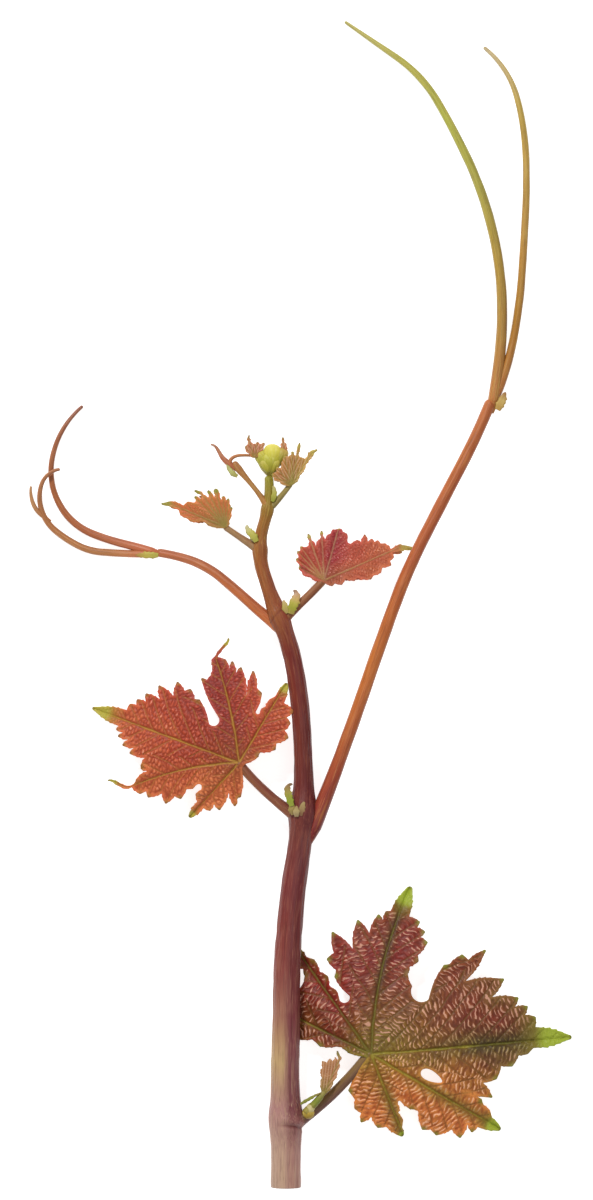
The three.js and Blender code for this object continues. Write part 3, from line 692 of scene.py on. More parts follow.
# %% [markdown]
# ## Bracts and stipules
# At every fork of a tendril sits a small scale, and beside every young leaf stalk a stipule:
# a cupped, pointed flake of pale green. They are the same kind of limb, flattened, wide in
# the middle, drawn out to a thin tip, and a little ragged along the edge. The bud in the
# corner of the second leaf is a bunch of three.

# %% Flakes
def flake(start, length, headings, heights, width, tip, flat=0.5):
    """A scale as wide as `width` in its middle, with a tip of half width `tip`."""
    share = np.linspace(0, 1, 24)
    body = width / 2 * np.sin(math.pi * (0.2 + 0.76 * share ** 0.9)) ** 0.9
    return limb(start, length, headings, heights, list(np.maximum(body, tip)), 0.3, 0.0, flat=flat)


FLAKES = {
    "bract_right_fork": flake((46.6, 171.4), 4, [62, 70], [6.3, 6.6], 2.1, 0.22),
    "bract_left_fork": flake((-28.4, 139.2), 4.8, [178, 182], [4.7, 3.9], 1.6, 0.22),
    "bract_tip_fork": flake((-10.9, 156.6), 3.4, [150, 128, 112], [9.3, 9.0], 1.3, 0.15, 0.8),
    "lateral_bract": flake((3.4, 18.9), 4.8, [32, 28], [8.4, 8.9], 0.8, 0.15, 0.7),
    "stipule_2": flake(
        (1.2, 84.5), 5.4, [106, 108, 106, 98, 60, -20], [10.6, 10.9, 10.9, 10.4], 1.75, 0.2, 0.35),
    "stipule_3": flake(
        (1.1, 126.6), 5.4, [76, 74, 66, 68, 100, 165], [9.6, 9.9, 9.6, 9.3], 2.3, 0.2, 0.4),
    "stipule_3_left": flake((0.3, 126.8), 2.7, [118, 108, 96], [9.6, 9.8, 9.4], 1.7, 0.25, 0.4),
    "bud_2_left": flake((1.6, 82.6), 2.6, [100, 104, 96], [10.1, 10.7, 10.3], 1.9, 0.3, 0.45),
    "bud_2_right": flake((3.2, 82.4), 2.9, [72, 80, 60], [10.2, 10.9, 10.3], 1.7, 0.3, 0.45),
    "bud_2_middle": flake((2.3, 82.2), 2.1, [92, 90, 86], [10.6, 11.1, 10.9], 1.5, 0.3, 0.45),
    "stipule_4": flake((-6.6, 142.4), 4.1, [112, 138, 90], [9.5, 9.6], 1.9, 0.12, 0.6),
    "stipule_5": flake((-2.9, 151.2), 3.3, [66, 90, 110], [9.3, 9.2], 1.35, 0.3, 0.6),
}
FLAKE_COLOURS = {
    "bract_right_fork": (["#b08a44", "#b89a54", "#8c5c34"], "#d0bc80"),
    "bract_left_fork": (["#a49a40", "#b0a044", "#a0743c"], "#ccc470"),
    "bract_tip_fork": (["#9c9448", "#aaac68", "#988c50"], "#d4d4a0"),
    "lateral_bract": (["#7c7c30", "#868a34", "#8a7438"], "#a8944c"),
    "stipule_2": (["#8c9430", "#8a962a", "#9a8e3c", "#8e7040", "#6c503a"], "#b8b068"),
    "stipule_3": (["#98883c", "#96962c", "#a8a03c", "#bc9a5c", "#b48c6c", "#7c5844"], "#ccba70"),
    "stipule_3_left": (["#a08c4c", "#ac9a50", "#b89c68"], "#ccba7c"),
    "bud_2_left": (["#8a7444", "#9a8648", "#8a6c44"], "#b8a468"),
    "bud_2_right": (["#7c5a3c", "#94784c", "#a08a54"], "#b8a070"),
    "bud_2_middle": (["#94805a", "#a89460", "#9a8050"], "#c4b080"),
    "stipule_4": (["#a09c3c", "#b4ac50", "#bcb490"], "#d4cc90"),
    "stipule_5": (["#90902e", "#a49e44", "#b0a468"], "#c4bc78"),
}

# Where several flakes stand for one CAD piece.
PART_OF = {
    "stipule_3_left": "stipule_3", "bud_2_left": "bud_2", "bud_2_right": "bud_2", "bud_2_middle": "bud_2",
}


def flake_relief(along, turn, radius):
    """A shallow trough along the top, a few fine veins, and a ragged edge."""
    size = np.minimum(radius, 1)
    trough = -0.3 * np.exp(-((turn / 0.7) ** 2))
    veins = 0.04 * np.cos(14 * turn)
    ragged = 0.3 * np.sin(turn) ** 4 * soft_noise(along, np.sign(turn) * 3.3, 0.45, 91)
    return trough * size + veins * size + ragged * size, np.zeros(len(along))


for name, shape in FLAKES.items():
    colours, streak = FLAKE_COLOURS[name]
    mesh = roll_limb(name + "_skin", shape, 32, 0.12, flake_relief)
    add_share(mesh, shape)
    skin = bark(name + "_skin", colours, colours, [streak], 0.4, 0.2, 0.15)
    link(name + "_skin", mesh, skin, nodes_of(PART_OF.get(name, name)))
print("flakes:", len(FLAKES))

# %% [markdown]
# ## Outline of a blade
# A grape leaf is a fan of lobes, each with its own main vein and its own teeth. We list for
# each side of a lobe its teeth and the valleys between them, measured along the vein and out
# from it. The vein may be bowed, so we need the way from it to the blade's x and y, and back.

# %% Beside a vein and along it
CURL_FROM = 0.84         # share of a lobe's length after which its tip may curl


def smooth(value, low, high):
    """0 below low, 1 above high, eased between."""
    t = np.clip((np.asarray(value, dtype=float) - low) / (high - low), 0, 1)
    return t * t * (3 - 2 * t)


def vein_turn(lobe, along):
    """Heading of a lobe's main vein: it may be bowed, and it may curl at its tip."""
    part = along / lobe["length"]
    curl = lobe.get("curl", 0) * smooth(part, CURL_FROM, 1)
    return np.radians(lobe["heading"] + lobe.get("bow", 0) * (1 - part) + curl)


def beside_vein(lobe, points):
    """From (along, out) beside a lobe's main vein to the blade's own x and y."""
    along, out = points.T
    turn = vein_turn(lobe, along)
    return np.column_stack([
        np.cos(turn) * along - np.sin(turn) * out,
        np.sin(turn) * along + np.cos(turn) * out,
    ])


def along_vein(lobe, points):
    """The way back, from x and y to (along, out), by a few corrections."""
    x, y = points.T
    along = np.hypot(x, y)
    for _ in range(6):
        turn = vein_turn(lobe, along)
        along = x * np.cos(turn) + y * np.sin(turn)
    return np.column_stack([along, y * np.cos(turn) - x * np.sin(turn)])


trial = {"heading": 60, "length": 20, "bow": 12}
there = beside_vein(trial, np.array([[10.0, 2.0]]))
print("there and back from (10, 2):", along_vein(trial, there)[0].round(3))

# %% [markdown]
# ### Tips, valleys and bays
# Going round the blade we meet the tips of teeth, the valleys between them and, between two
# lobes, a bay. A wide bay has a round bottom, and a narrow one is a single point for now.

# %% Tips, valleys and bays
EDGE_STEP = 0.12         # distance between the outline's points


def bay_arc(heading, reach, radius=0.0):
    """The round bottom of a bay between two lobes, or a single point."""
    turn = math.radians(heading)
    ahead = np.array([math.cos(turn), math.sin(turn)])
    if radius == 0:
        return np.array([reach * ahead])
    count = max(6, int(math.pi * radius / EDGE_STEP))
    angles = turn + np.radians(np.linspace(-100, -260, count))
    centre = (reach + radius) * ahead
    return centre + radius * np.column_stack([np.cos(angles), np.sin(angles)])


def tips_and_valleys(leaf):
    """Round the blade: (kind, points, half width of the tip, lobe), with kind tip, valley or bay."""
    found = []
    for lobe in leaf["lobes"]:
        right = [(along, -out) for along, out in lobe["right"]]
        row = [("valley" if i % 2 else "tip", p, leaf["tooth"]) for i, p in enumerate(right)]
        row.append(("tip", (lobe["length"], 0), lobe["finger"]))
        left = [("valley" if i % 2 else "tip", p, leaf["tooth"]) for i, p in enumerate(lobe["left"])]
        for kind, place, width in row + left[::-1]:
            found.append((kind, beside_vein(lobe, np.array([place], dtype=float)), width, lobe))
        found.append(("bay", bay_arc(*lobe["sinus"]), 0.0, lobe))
    return found


print("a round bay of 1 mm has", len(bay_arc(0, 10, 1.0)), "points")

# %% [markdown]
# ### Teeth
# Straight lines between tips and valleys would look cut with scissors. So each tooth becomes a
# small finger: its sides swell a little, carry tiny nicks, and close in a round tip. A narrow
# bay is rounded last, when both of its sides are there.

# %% From teeth to an outline
NICK = 0.34              # depth of the small teeth along an edge
NICK_STEP = 1.25         # distance between them


def tooth_side(valley, tip, other, width, seed, from_bay):
    """Points from a valley to the tip of a tooth whose other valley is `other`."""
    base = (valley + other) / 2
    axis = tip - base
    axis = axis / max(np.linalg.norm(axis), 1e-6)
    side = np.linalg.norm(tip - valley)
    count = max(8, int(side / EDGE_STEP))
    s = 1 - (1 - np.linspace(0, 1, count) ** 0.9) ** 1.25
    points = valley + (tip - valley) * s[:, None]
    back = (tip - points) @ axis
    normal = np.array([-axis[1], axis[0]])
    off = (points - tip) @ normal
    hand = 1.0 if (valley - tip) @ normal >= 0 else -1.0
    cap = width * np.sqrt(1 - (1 - np.clip(back / width, 0, 1)) ** 2) * np.clip(s / 0.35, 0, 1)
    swell = 0.06 * side * np.sin(math.pi * s)
    run = s * side + 0.5 * NICK_STEP * soft_noise(s * side, s * 0 + seed, 2.1, 12)
    part = np.mod(run / NICK_STEP, 1)
    nick = NICK * (part ** 1.4 * smooth(1 - part, 0, 0.16))
    nick = nick * smooth(s, 0.05, 0.3) * smooth(1 - s, 0.08, 0.4)
    nick = nick * (0.7 + 0.5 * soft_noise(run, run * 0 + seed, 1.7, 11)) * smooth(side, 0.8, 2.0)
    if from_bay:
        nick = nick * smooth(s, 0.3, 0.7)
    wide = np.sqrt(off ** 2 + cap ** 2) + swell + nick
    return tip - axis * back[:, None] + normal * (hand * wide)[:, None]


def blade_outline(leaf, cut_corner=1.0):
    """The closed outline of a blade as seen from above, from its foot."""
    places = tips_and_valleys(leaf)
    count = len(places)
    outline = []
    for index, (kind, points, width, lobe) in enumerate(places):
        if kind == "bay":
            outline.append(points)
        if kind != "tip":
            continue
        before, after = places[index - 1], places[(index + 1) % count]
        ends = np.vstack([before[1][-1], points[0], after[1][0]])
        low, tip, high = along_vein(lobe, ends)
        rise = tooth_side(low, tip, high, width, index, before[0] == "bay")
        fall = tooth_side(high, tip, low, width, index + 0.5, after[0] == "bay")[::-1]
        outline.append(beside_vein(lobe, rise[1:-1] if before[0] == "bay" else rise[:-1]))
        outline.append(beside_vein(lobe, fall[:-1]))
    corners = [points[0] for kind, points, width, lobe in places if kind == "bay" and len(points) == 1]
    return round_bays(np.vstack(outline), corners, cut_corner)


def round_bays(outline, bays, reach):
    """Replaces the corner at the bottom of a narrow bay by a smooth curve."""
    outline = np.array(outline)
    for bay in bays:
        near = int(np.argmin(np.linalg.norm(outline - bay, axis=1)))
        outline = np.roll(outline, len(outline) // 2 - near, axis=0)
        middle = len(outline) // 2
        span = min(int(reach / EDGE_STEP), middle // 2)
        first, last = outline[middle - span], outline[middle + span]
        s = np.linspace(0, 1, 2 * span + 1)[:, None]
        curve = (1 - s) ** 2 * first + 2 * s * (1 - s) * outline[middle] + s ** 2 * last
        outline[middle - span:middle + span + 1] = curve
    return outline


print("nicks are", NICK, "mm deep and", NICK_STEP, "mm apart")

# %% [markdown]
# ## Blade
# The sheet of a blade is a fine grid of squares. It gets its thickness with solidify, and a
# Boolean cut with the outline drawn up into a prism gives it its edge, as a cutter would.
# The squares stay, so that each corner can be lifted afterwards.

# %% Cut a sheet
PRISM_HALF = 5           # far more than half the sheet's thickness


def as_object(name, bm):
    """The mesh being built, as an object in the scene."""
    mesh = bpy.data.meshes.new(name)
    bm.to_mesh(mesh)
    bm.free()
    made = bpy.data.objects.new(name, mesh)
    bpy.context.scene.collection.objects.link(made)
    return made


def prism(name, outline):
    """The outline drawn up into a tall prism, to cut with."""
    bm = bmesh.new()
    rim = [bm.verts.new((x, y, -PRISM_HALF)) for x, y in outline]
    grown = bmesh.ops.extrude_face_region(bm, geom=[bm.faces.new(rim)], use_keep_orig=True)
    risen = [g for g in grown["geom"] if isinstance(g, bmesh.types.BMVert)]
    bmesh.ops.translate(bm, verts=risen, vec=(0, 0, 2 * PRISM_HALF))
    bmesh.ops.recalc_face_normals(bm, faces=bm.faces)
    bmesh.ops.triangulate(bm, faces=[f for f in bm.faces if len(f.verts) > 4])
    return as_object(name, bm)


def cut_sheet(name, outline, hole, cell, thick):
    """A flat sheet of small squares with the given outline, `thick` thick, and perhaps a hole."""
    low, high = outline.min(axis=0) - cell, outline.max(axis=0) + cell
    columns, rows = np.ceil((high - low) / cell).astype(int)
    bm = bmesh.new()
    bmesh.ops.create_grid(bm, x_segments=int(columns), y_segments=int(rows), size=0.5)
    bmesh.ops.scale(bm, verts=bm.verts, vec=(columns * cell, rows * cell, 1))
    bmesh.ops.translate(bm, verts=bm.verts, vec=(*((low + high) / 2), 0))
    bmesh.ops.solidify(bm, geom=list(bm.faces), thickness=thick)
    slab = as_object(name + "_slab", bm)
    cutters = [(prism(name + "_outside", outline), "INTERSECT")]
    if len(hole):
        cutters.append((prism(name + "_hole", hole), "DIFFERENCE"))
    for cutter, operation in cutters:
        cut = slab.modifiers.new("cut", "BOOLEAN")
        cut.operation = operation
        cut.solver = "MANIFOLD"
        cut.object = cutter
    ready = slab.evaluated_get(bpy.context.evaluated_depsgraph_get())
    mesh = bpy.data.meshes.new_from_object(ready)
    mesh.name = name
    for each in (slab, *(cutter for cutter, operation in cutters)):
        data = each.data
        bpy.data.objects.remove(each)
        bpy.data.meshes.remove(data)
    return mesh


def hole_outline(leaf):
    """An oval hole where two lobes part and meet again: its middle, half sizes and lean."""
    if "hole" not in leaf:
        return np.empty((0, 2))
    x, y, half_length, half_width, lean = leaf["hole"]
    angles = np.linspace(0, 2 * math.pi, 48, endpoint=False)
    wide = half_width * (1 - 0.35 * np.cos(angles))
    oval = np.column_stack([half_length * np.cos(angles), wide * np.sin(angles)])
    turn = math.radians(lean)
    return oval @ [[math.cos(turn), math.sin(turn)], [-math.sin(turn), math.cos(turn)]] + (x, y)


print("cutters are", 2 * PRISM_HALF, "mm tall")

# %% [markdown]
# ### Height of a blade
# A blade that is laid on a table stands highest where its stalk holds it. It falls towards the
# tip of each lobe, and it puffs up between the main veins. Each lobe has its own values, and
# between two lobes they are eased from one to the other.

# %% Height between the lobes
def between_lobes(leaf, x, y):
    """For each point: the lobe before it and after it, and the share of the way between them."""
    lobes = leaf["lobes"]
    headings = np.array([lobe["heading"] for lobe in lobes], dtype=float)
    seam = lobes[-1]["sinus"][0] - 360
    turn = seam + np.mod(np.degrees(np.arctan2(y, x)) - seam, 360)
    following = np.searchsorted(headings, turn, side="right")
    before = np.clip(following - 1, 0, len(lobes) - 1)
    after = np.clip(following, 0, len(lobes) - 1)
    span = headings[after] - headings[before]
    share = np.where(span > 0, (turn - headings[before]) / np.maximum(span, 1e-9), 0)
    return before, after, share


def across_lobes(leaf, key, before, after, share):
    """A lobe's value, eased from one lobe to the next."""
    values = np.array([lobe.get(key, 0) for lobe in leaf["lobes"]], dtype=float)
    eased = share * share * (3 - 2 * share)
    return values[before] * (1 - eased) + values[after] * eased


def blade_height(leaf, x, y):
    """It falls to the tip of each lobe and puffs up between the main veins."""
    before, after, share = between_lobes(leaf, x, y)
    length = across_lobes(leaf, "length", before, after, share)
    low = across_lobes(leaf, "low", before, after, share)
    part = np.minimum(np.hypot(x, y) / length, 1.1)
    fall = (low - leaf["foot"][2]) * part ** leaf["droop"]
    return leaf["foot"][2] + fall + leaf["puff"] * np.sin(math.pi * share) * part


trial = {"lobes": [{"heading": 0, "sinus": (45, 5)}, {"heading": 90, "sinus": (225, 5)}]}
print("halfway between two lobes, share is", between_lobes(trial, np.ones(1), np.ones(1))[2].round(2))

# %% [markdown]
# ## Veins and quilting
# Side veins leave the main vein of each lobe in even rows and bend a little towards its tip.
# Between them the blade grows faster than its veins do, so it puckers up in short cushions.
# Two patterns are mixed for these: irregular cells, and a wave that runs along each row.

# %% Cells and veins
VEIN_BEND = 0.016        # how much side veins bend towards the tip, per mm away


def cells(u, v, seed):
    """Irregular cells about one unit across: distance to the edge, and a random number per cell."""
    spots = np.random.RandomState(seed).uniform(0.12, 0.88, (64, 64, 3))
    i, j = np.floor(u).astype(int), np.floor(v).astype(int)
    first, second = np.full(len(u), 9.0), np.full(len(u), 9.0)
    luck = np.zeros(len(u))
    for di in (-1, 0, 1):
        for dj in (-1, 0, 1):
            spot = spots[(i + di) % 64, (j + dj) % 64]
            gap = np.hypot(i + di + spot[:, 0] - u, j + dj + spot[:, 1] - v)
            second = np.where(gap < first, first, np.minimum(second, gap))
            luck = np.where(gap < first, spot[:, 2], luck)
            first = np.minimum(first, gap)
    return second - first, luck


def vein_map(leaf, x, y):
    """Where each point is along and beside its main vein, and among the side veins."""
    reach = np.hypot(x, y)
    turn = np.degrees(np.arctan2(y, x))
    best = np.full(len(x), 1e9)
    along, out, size, side_key, band = (np.zeros(len(x)) for _ in range(5))
    for number, lobe in enumerate(leaf["lobes"]):
        heading = np.degrees(vein_turn(lobe, np.minimum(reach, lobe["length"])))
        lean = np.radians((turn - heading + 180) % 360 - 180)
        score = np.abs(lean) * (1 + 1.5 * np.maximum(reach / lobe["length"] - 1.05, 0))
        near = score < best
        best = np.where(near, score, best)
        along = np.where(near, reach * np.cos(lean), along)
        out = np.where(near, reach * np.sin(lean), out)
        size = np.where(near, lobe["length"], size)
        side_key = np.where(near, number * 2 + (lean > 0), side_key)
        band = np.where(near, lobe.get("band", 0.0), band)
    away = np.abs(out)
    gap, angle = leaf["gap"], math.radians(leaf["angle"])
    row = (along - away / math.tan(angle) + VEIN_BEND * away ** 2) * math.sin(angle) / gap
    row = row + 0.5 * (side_key % 2) + 0.1 * soft_noise(x, y, 5, 21)
    side_gap = np.abs(row - np.round(row)) * gap
    run = along + 0.35 * away + 9 * side_key
    return along, away, size, row, side_gap, side_key, band, run


print("cells differ in luck:", cells(np.arange(3) + 0.5, np.zeros(3), 33)[1].round(2))

# %% [markdown]
# ### Quilting
# The relief is the sum of cushions, grooves over the veins and slow waves. What the finish
# needs is kept beside it: where the veins, dents and crests are, and a weave that runs along
# the veins, so that wrinkles can follow them.

# %% Quilting
SIDE_DEPTH = 0.35        # depth of a side vein's groove, as a share of the main vein's


def quilt(leaf, x, y, rim):
    """Relief of the upper side, and what the finish reads: veins, dents and crests."""
    along, away, size, row, side_gap, side_key, band, run = vein_map(leaf, x, y)
    taper = np.clip(1 - along / size, 0, 1)
    wiggle = 0.12 * leaf["veins"] * soft_noise(along, side_key * 3.1, 3.0, 22)
    main_width = 0.1 + 0.17 * taper * leaf["veins"]
    main = np.exp(-(((away + wiggle) / main_width) ** 2)) * smooth(along, -0.5, 0.5)
    side_width = 0.1 + 0.04 * leaf["veins"]
    side = np.exp(-((side_gap / side_width) ** 2)) * smooth(along, 0.5, 2)
    bead = leaf["bead"]
    wander = leaf["wander"] * (soft_noise(x, y, 1.9 * bead, 31) + 0.4 * soft_noise(x, y, 0.8 * bead, 32))
    phase = run / bead + wander + 3.7 * np.floor(row)
    edge, luck = cells(phase, row * leaf["breaks"] + side_key * 7, 33)
    blister = smooth(edge, 0.0, 0.75) * (0.5 + 0.5 * luck)
    uneven = 0.72 + 0.5 * soft_noise(x, y, 1.5 * bead, 36)
    ripple = (0.5 + 0.5 * np.cos(2 * math.pi * phase)) ** 1.4 * uneven
    crest = np.clip(blister + leaf["ripple"] * (ripple - blister), 0, 1)
    clear = (1 - 0.75 * side) * smooth(away, 0.05, 0.8) * smooth(rim, 0.05, 0.8)
    crest = crest * clear
    broad = 1 + 0.25 * soft_noise(x, y, 6.5, 41)
    lift = leaf["puckers"] * broad * (crest - 0.45 * smooth(rim, 0.05, 0.8))
    lift = lift - leaf["groove"] * (main + SIDE_DEPTH * side * smooth(rim, 0.1, 0.8))
    lift = lift + leaf["waves"] * soft_noise(x, y, 2.9, 51) * smooth(rim, 0, 1.2)
    dent = np.clip((0.75 - crest) * 1.35, 0, 1) * smooth(rim, 0.1, 0.9)
    olive = np.exp(-((away / (0.6 + band)) ** 2)) * smooth(band, 0, 1) * smooth(along / size, 0.1, 0.5)
    weave = np.column_stack([run, row * leaf["gap"], phase])
    return lift, main, side, dent, crest, olive, weave


print("side veins are", SIDE_DEPTH, "as deep as main ones")

# %% [markdown]
# ### Tips
# The teeth of a young vine leaf end in small glands. They are lime green, and the very tip of
# each is often scorched brown.

# %% Lime and burnt tips
BURNT_REACH = 0.6        # how far a tip is burnt, as a share of how far it is lime


def tip_map(leaf, x, y):
    """Near 1 in the tips of teeth and lobes: first where they are lime, then where they are burnt."""
    lime, burnt = np.zeros(len(x)), np.zeros(len(x))
    places = tips_and_valleys(leaf)
    for index, (kind, points, width, lobe) in enumerate(places):
        if kind != "tip":
            continue
        point = points[0]
        valleys = (places[index - 1][1][-1] + places[(index + 1) % len(places)][1][0]) / 2
        gap = np.hypot(x - point[0], y - point[1])
        sharp = smooth(np.linalg.norm(point - valleys), 0.3, 1.6)
        if width == leaf["tooth"]:
            shade = sharp * leaf["tooth_lime"] * (1 - smooth(gap, 0.3, leaf["tooth_tips"]))
        else:
            shade = 1 - smooth(gap, 0.45 * lobe["lime"], 1.25 * lobe["lime"])
        lime = np.maximum(lime, shade)
        end = BURNT_REACH * leaf["tooth_tips"]
        burnt = np.maximum(burnt, sharp * leaf["burnt"] * (1 - smooth(gap, 0.25 * end, end)))
    return lime, burnt


print("tips are burnt over", BURNT_REACH, "of their lime part")

# %% [markdown]
# ### A whole blade
# Now the sheet is cut, and every corner is lifted. Near its edge the sheet gets thinner and
# rounds off, as a leaf does. A search tree finds how far each corner is from the edge.

# %% Make a blade
SHEET = 0.3              # thickness of a real young blade
EDGE_ROUND = 0.3         # the sheet gets thinner this near to its edge
EDGE_SHARE = 0.3         # what is left of its thickness at the edge


def make_blade(name, leaf, outline, drop=None):
    """The mesh of a blade with all that its finish reads. drop lowers the hidden half."""
    hole = hole_outline(leaf)
    mesh = cut_sheet(name, outline, hole, leaf["cell"], SHEET)
    flat = corners_of(mesh)
    x, y = flat[:, 0], flat[:, 1]
    upper = flat[:, 2] > (flat[:, 2].min() + flat[:, 2].max()) / 2
    edges = np.vstack([outline, hole])
    tree = KDTree(len(edges))
    for index, (u, v) in enumerate(edges):
        tree.insert((u, v, 0), index)
    tree.balance()
    rim = np.array([tree.find((u, v, 0))[2] for u, v in zip(x, y)])
    lift, main, side, dent, crest, olive, weave = quilt(leaf, x, y, rim)
    height = blade_height(leaf, x, y) + lift
    if drop is not None:
        height = height + drop(x, y)
    rounded = np.sqrt(1 - (1 - np.clip(rim / EDGE_ROUND, 0, 1)) ** 2)
    half = SHEET / 2 * (EDGE_SHARE + (1 - EDGE_SHARE) * rounded)
    height = np.maximum(height, half + TABLE_CLEAR)
    points = np.column_stack([x, y, height + np.where(upper, half, -half)])
    points[:, 0] += leaf["foot"][0]
    points[:, 1] += leaf["foot"][1]
    before, after, share = between_lobes(leaf, x, y)
    far = np.hypot(x, y) / across_lobes(leaf, "length", before, after, share)
    tint = across_lobes(leaf, "tint", before, after, share) + 0.16 * soft_noise(x, y, 7, 61)
    tint = tint + across_lobes(leaf, "tint_far", before, after, share) * smooth(far, 0.3, 0.75)
    margin = across_lobes(leaf, "margin", before, after, share) * (1 - smooth(rim, 0.5, 4.5))
    lime, burnt = tip_map(leaf, x, y)
    put_corners(mesh, to_frame(points))
    notes = {
        "tint": np.clip(tint, 0, 1), "vein": main, "side_vein": side, "olive": olive,
        "margin": margin, "dent": dent, "crest": crest, "weave": weave,
        "tip": lime, "burnt": burnt, "far": np.clip(far, 0, 1.2),
    }
    for key, values in notes.items():
        note(mesh, key, values)
    return mesh


print("a blade is", SHEET, "mm thick")

# %% [markdown]
# ## Finish of a blade
# A young blade is glossy and thin. It is wine red where the sun has tanned it, orange where it
# is younger, lime at the tips of its teeth, and dull green along the veins. The colours follow
# the numbers that we kept while shaping it, so they turn and fall with the blade.

# %% Blade finish
DENT_SHADE = (0.46, 0.31, 0.26, 1)       # what a dent leaves of red, green and blue
SPECK = (0.06, 0.02, 0.01, 1)
COAT = 0.04


def blade_finish(name, look):
    """look: see LOOKS. The colours go from tanned to young, the veins and crests likewise."""
    material, tree, shader = start_material(name)
    place = millimetres(tree)
    cloud = noise(tree, place, 0.35, 3.0)
    grit = noise(tree, place, 2.8, 4.0)

    # The ground: from tanned to young, then the foot, the olive bands and the margin.
    sway = math_node(tree, "MULTIPLY_ADD", cloud, 0.5, -0.25)
    tint = math_node(tree, "ADD", read(tree, "tint"), sway)
    colour = even_ramp(tree, tint, look["colours"])
    near = shift(tree, read(tree, "far"), 0.02, look["foot_reach"], 0.75, 0.0)
    colour = mix(tree, near, colour, paint(look["foot"]))
    olive = mix(tree, shift(tree, tint, 0.35, 0.85), paint("#4a5020"), paint("#a08c34"))
    colour = mix(tree, times(tree, read(tree, "olive"), 0.85), colour, olive)
    colour = mix(tree, times(tree, read(tree, "margin"), 0.75), colour, paint("#857434"))

    # Shade in the dents and in fine wrinkles, which run along the weave.
    parts = add(tree, "ShaderNodeSeparateXYZ", {0: read(tree, "weave", "Vector")})
    across = times(tree, parts.outputs[1], look["long"])
    weave = add(tree, "ShaderNodeCombineXYZ", {0: parts.outputs[0], 1: across}).outputs[0]
    wrinkle = noise(tree, weave, look["fine"], 4.0, 0.62)
    crease = times(tree, shift(tree, wrinkle, 0.36, 0.56, 1.0, 0.0), 0.5 * look["dents"])
    dent = math_node(tree, "MAXIMUM", times(tree, read(tree, "dent"), look["dents"]), crease)
    colour = mix(tree, dent, colour, mix(tree, 1.0, colour, DENT_SHADE, "MULTIPLY"))

    # Pale glints where the crests and their waves are highest.
    phase = math_node(tree, "MULTIPLY_ADD", wrinkle, 0.6, parts.outputs[2])
    wave = math_node(tree, "COSINE", times(tree, phase, 2 * math.pi))
    ridge = math_node(tree, "POWER", math_node(tree, "MULTIPLY_ADD", wave, 0.5, 0.5), 2.2)
    crest = read(tree, "crest")
    ridge = times(tree, ridge, shift(tree, crest, 0.05, 0.45))
    high = times(tree, ridge, look["lines"])
    high = math_node(tree, "MULTIPLY_ADD", crest, 1 - look["lines"], high)
    high = math_node(tree, "MULTIPLY_ADD", noise(tree, place, 0.9, 3.0), 0.6, high)
    plain = math_node(tree, "MULTIPLY_ADD", read(tree, "tip"), -look["shine"], look["shine"])
    spots = times(tree, shift(tree, high, look["spot"], look["spot"] + 0.4), plain)
    tanned_glint, young_glint = map(paint, look["crests"])
    glint = mix(tree, shift(tree, tint, 0.2, 0.8), tanned_glint, young_glint)
    glint = mix(tree, read(tree, "olive"), glint, paint("#8a783c"))
    colour = mix(tree, spots, colour, glint)

    # Veins, then the tips of the teeth, specks and scorched ends.
    tanned_vein, young_vein = map(paint, look["veins"])
    vein = mix(tree, shift(tree, tint, 0.2, 0.6), tanned_vein, young_vein)
    side = times(tree, read(tree, "side_vein"), look["side_share"])
    colour = mix(tree, side, colour, paint(look["side_vein"]))
    colour = mix(tree, times(tree, read(tree, "vein"), look["vein_share"]), colour, vein)
    tips = times(tree, read(tree, "tip"), shift(tree, grit, 0.2, 0.6, 0.7, 1.0))
    tip_root, tip_end = map(paint, look["tips"])
    lime = mix(tree, shift(tree, read(tree, "tip"), 0.6, 1.0), tip_root, tip_end)
    colour = mix(tree, tips, colour, lime)
    colour = mix(tree, shift(tree, grit, 0.45, 0.8, 0.0, 0.2), colour, SPECK)
    colour = mix(tree, read(tree, "burnt"), colour, paint("#56381c"))
    tree.links.new(colour, shader.inputs["Base Color"])

    rough = shift(tree, grit, 0.2, 0.8, look["rough"] - 0.06, look["rough"] + 0.14)
    tree.links.new(rough, shader.inputs["Roughness"])
    height = math_node(tree, "MULTIPLY_ADD", grit, 0.25, wrinkle)
    tree.links.new(bump(tree, height, 0.5, look["relief"] * MM), shader.inputs["Normal"])
    shader.inputs["Specular IOR Level"].default_value = SKIN_SHEEN
    shader.inputs["Coat Weight"].default_value = COAT
    shader.inputs["Coat Roughness"].default_value = 0.3
    return material


print("a dent keeps", DENT_SHADE[0], "of the red")

# %% [markdown]
# ### Looks of the blades
# The oldest leaf has the widest range, from wine red to orange with olive bands, and the
# youngest are straw and salmon. What all have in common is said once, and each look adds what
# is its own.

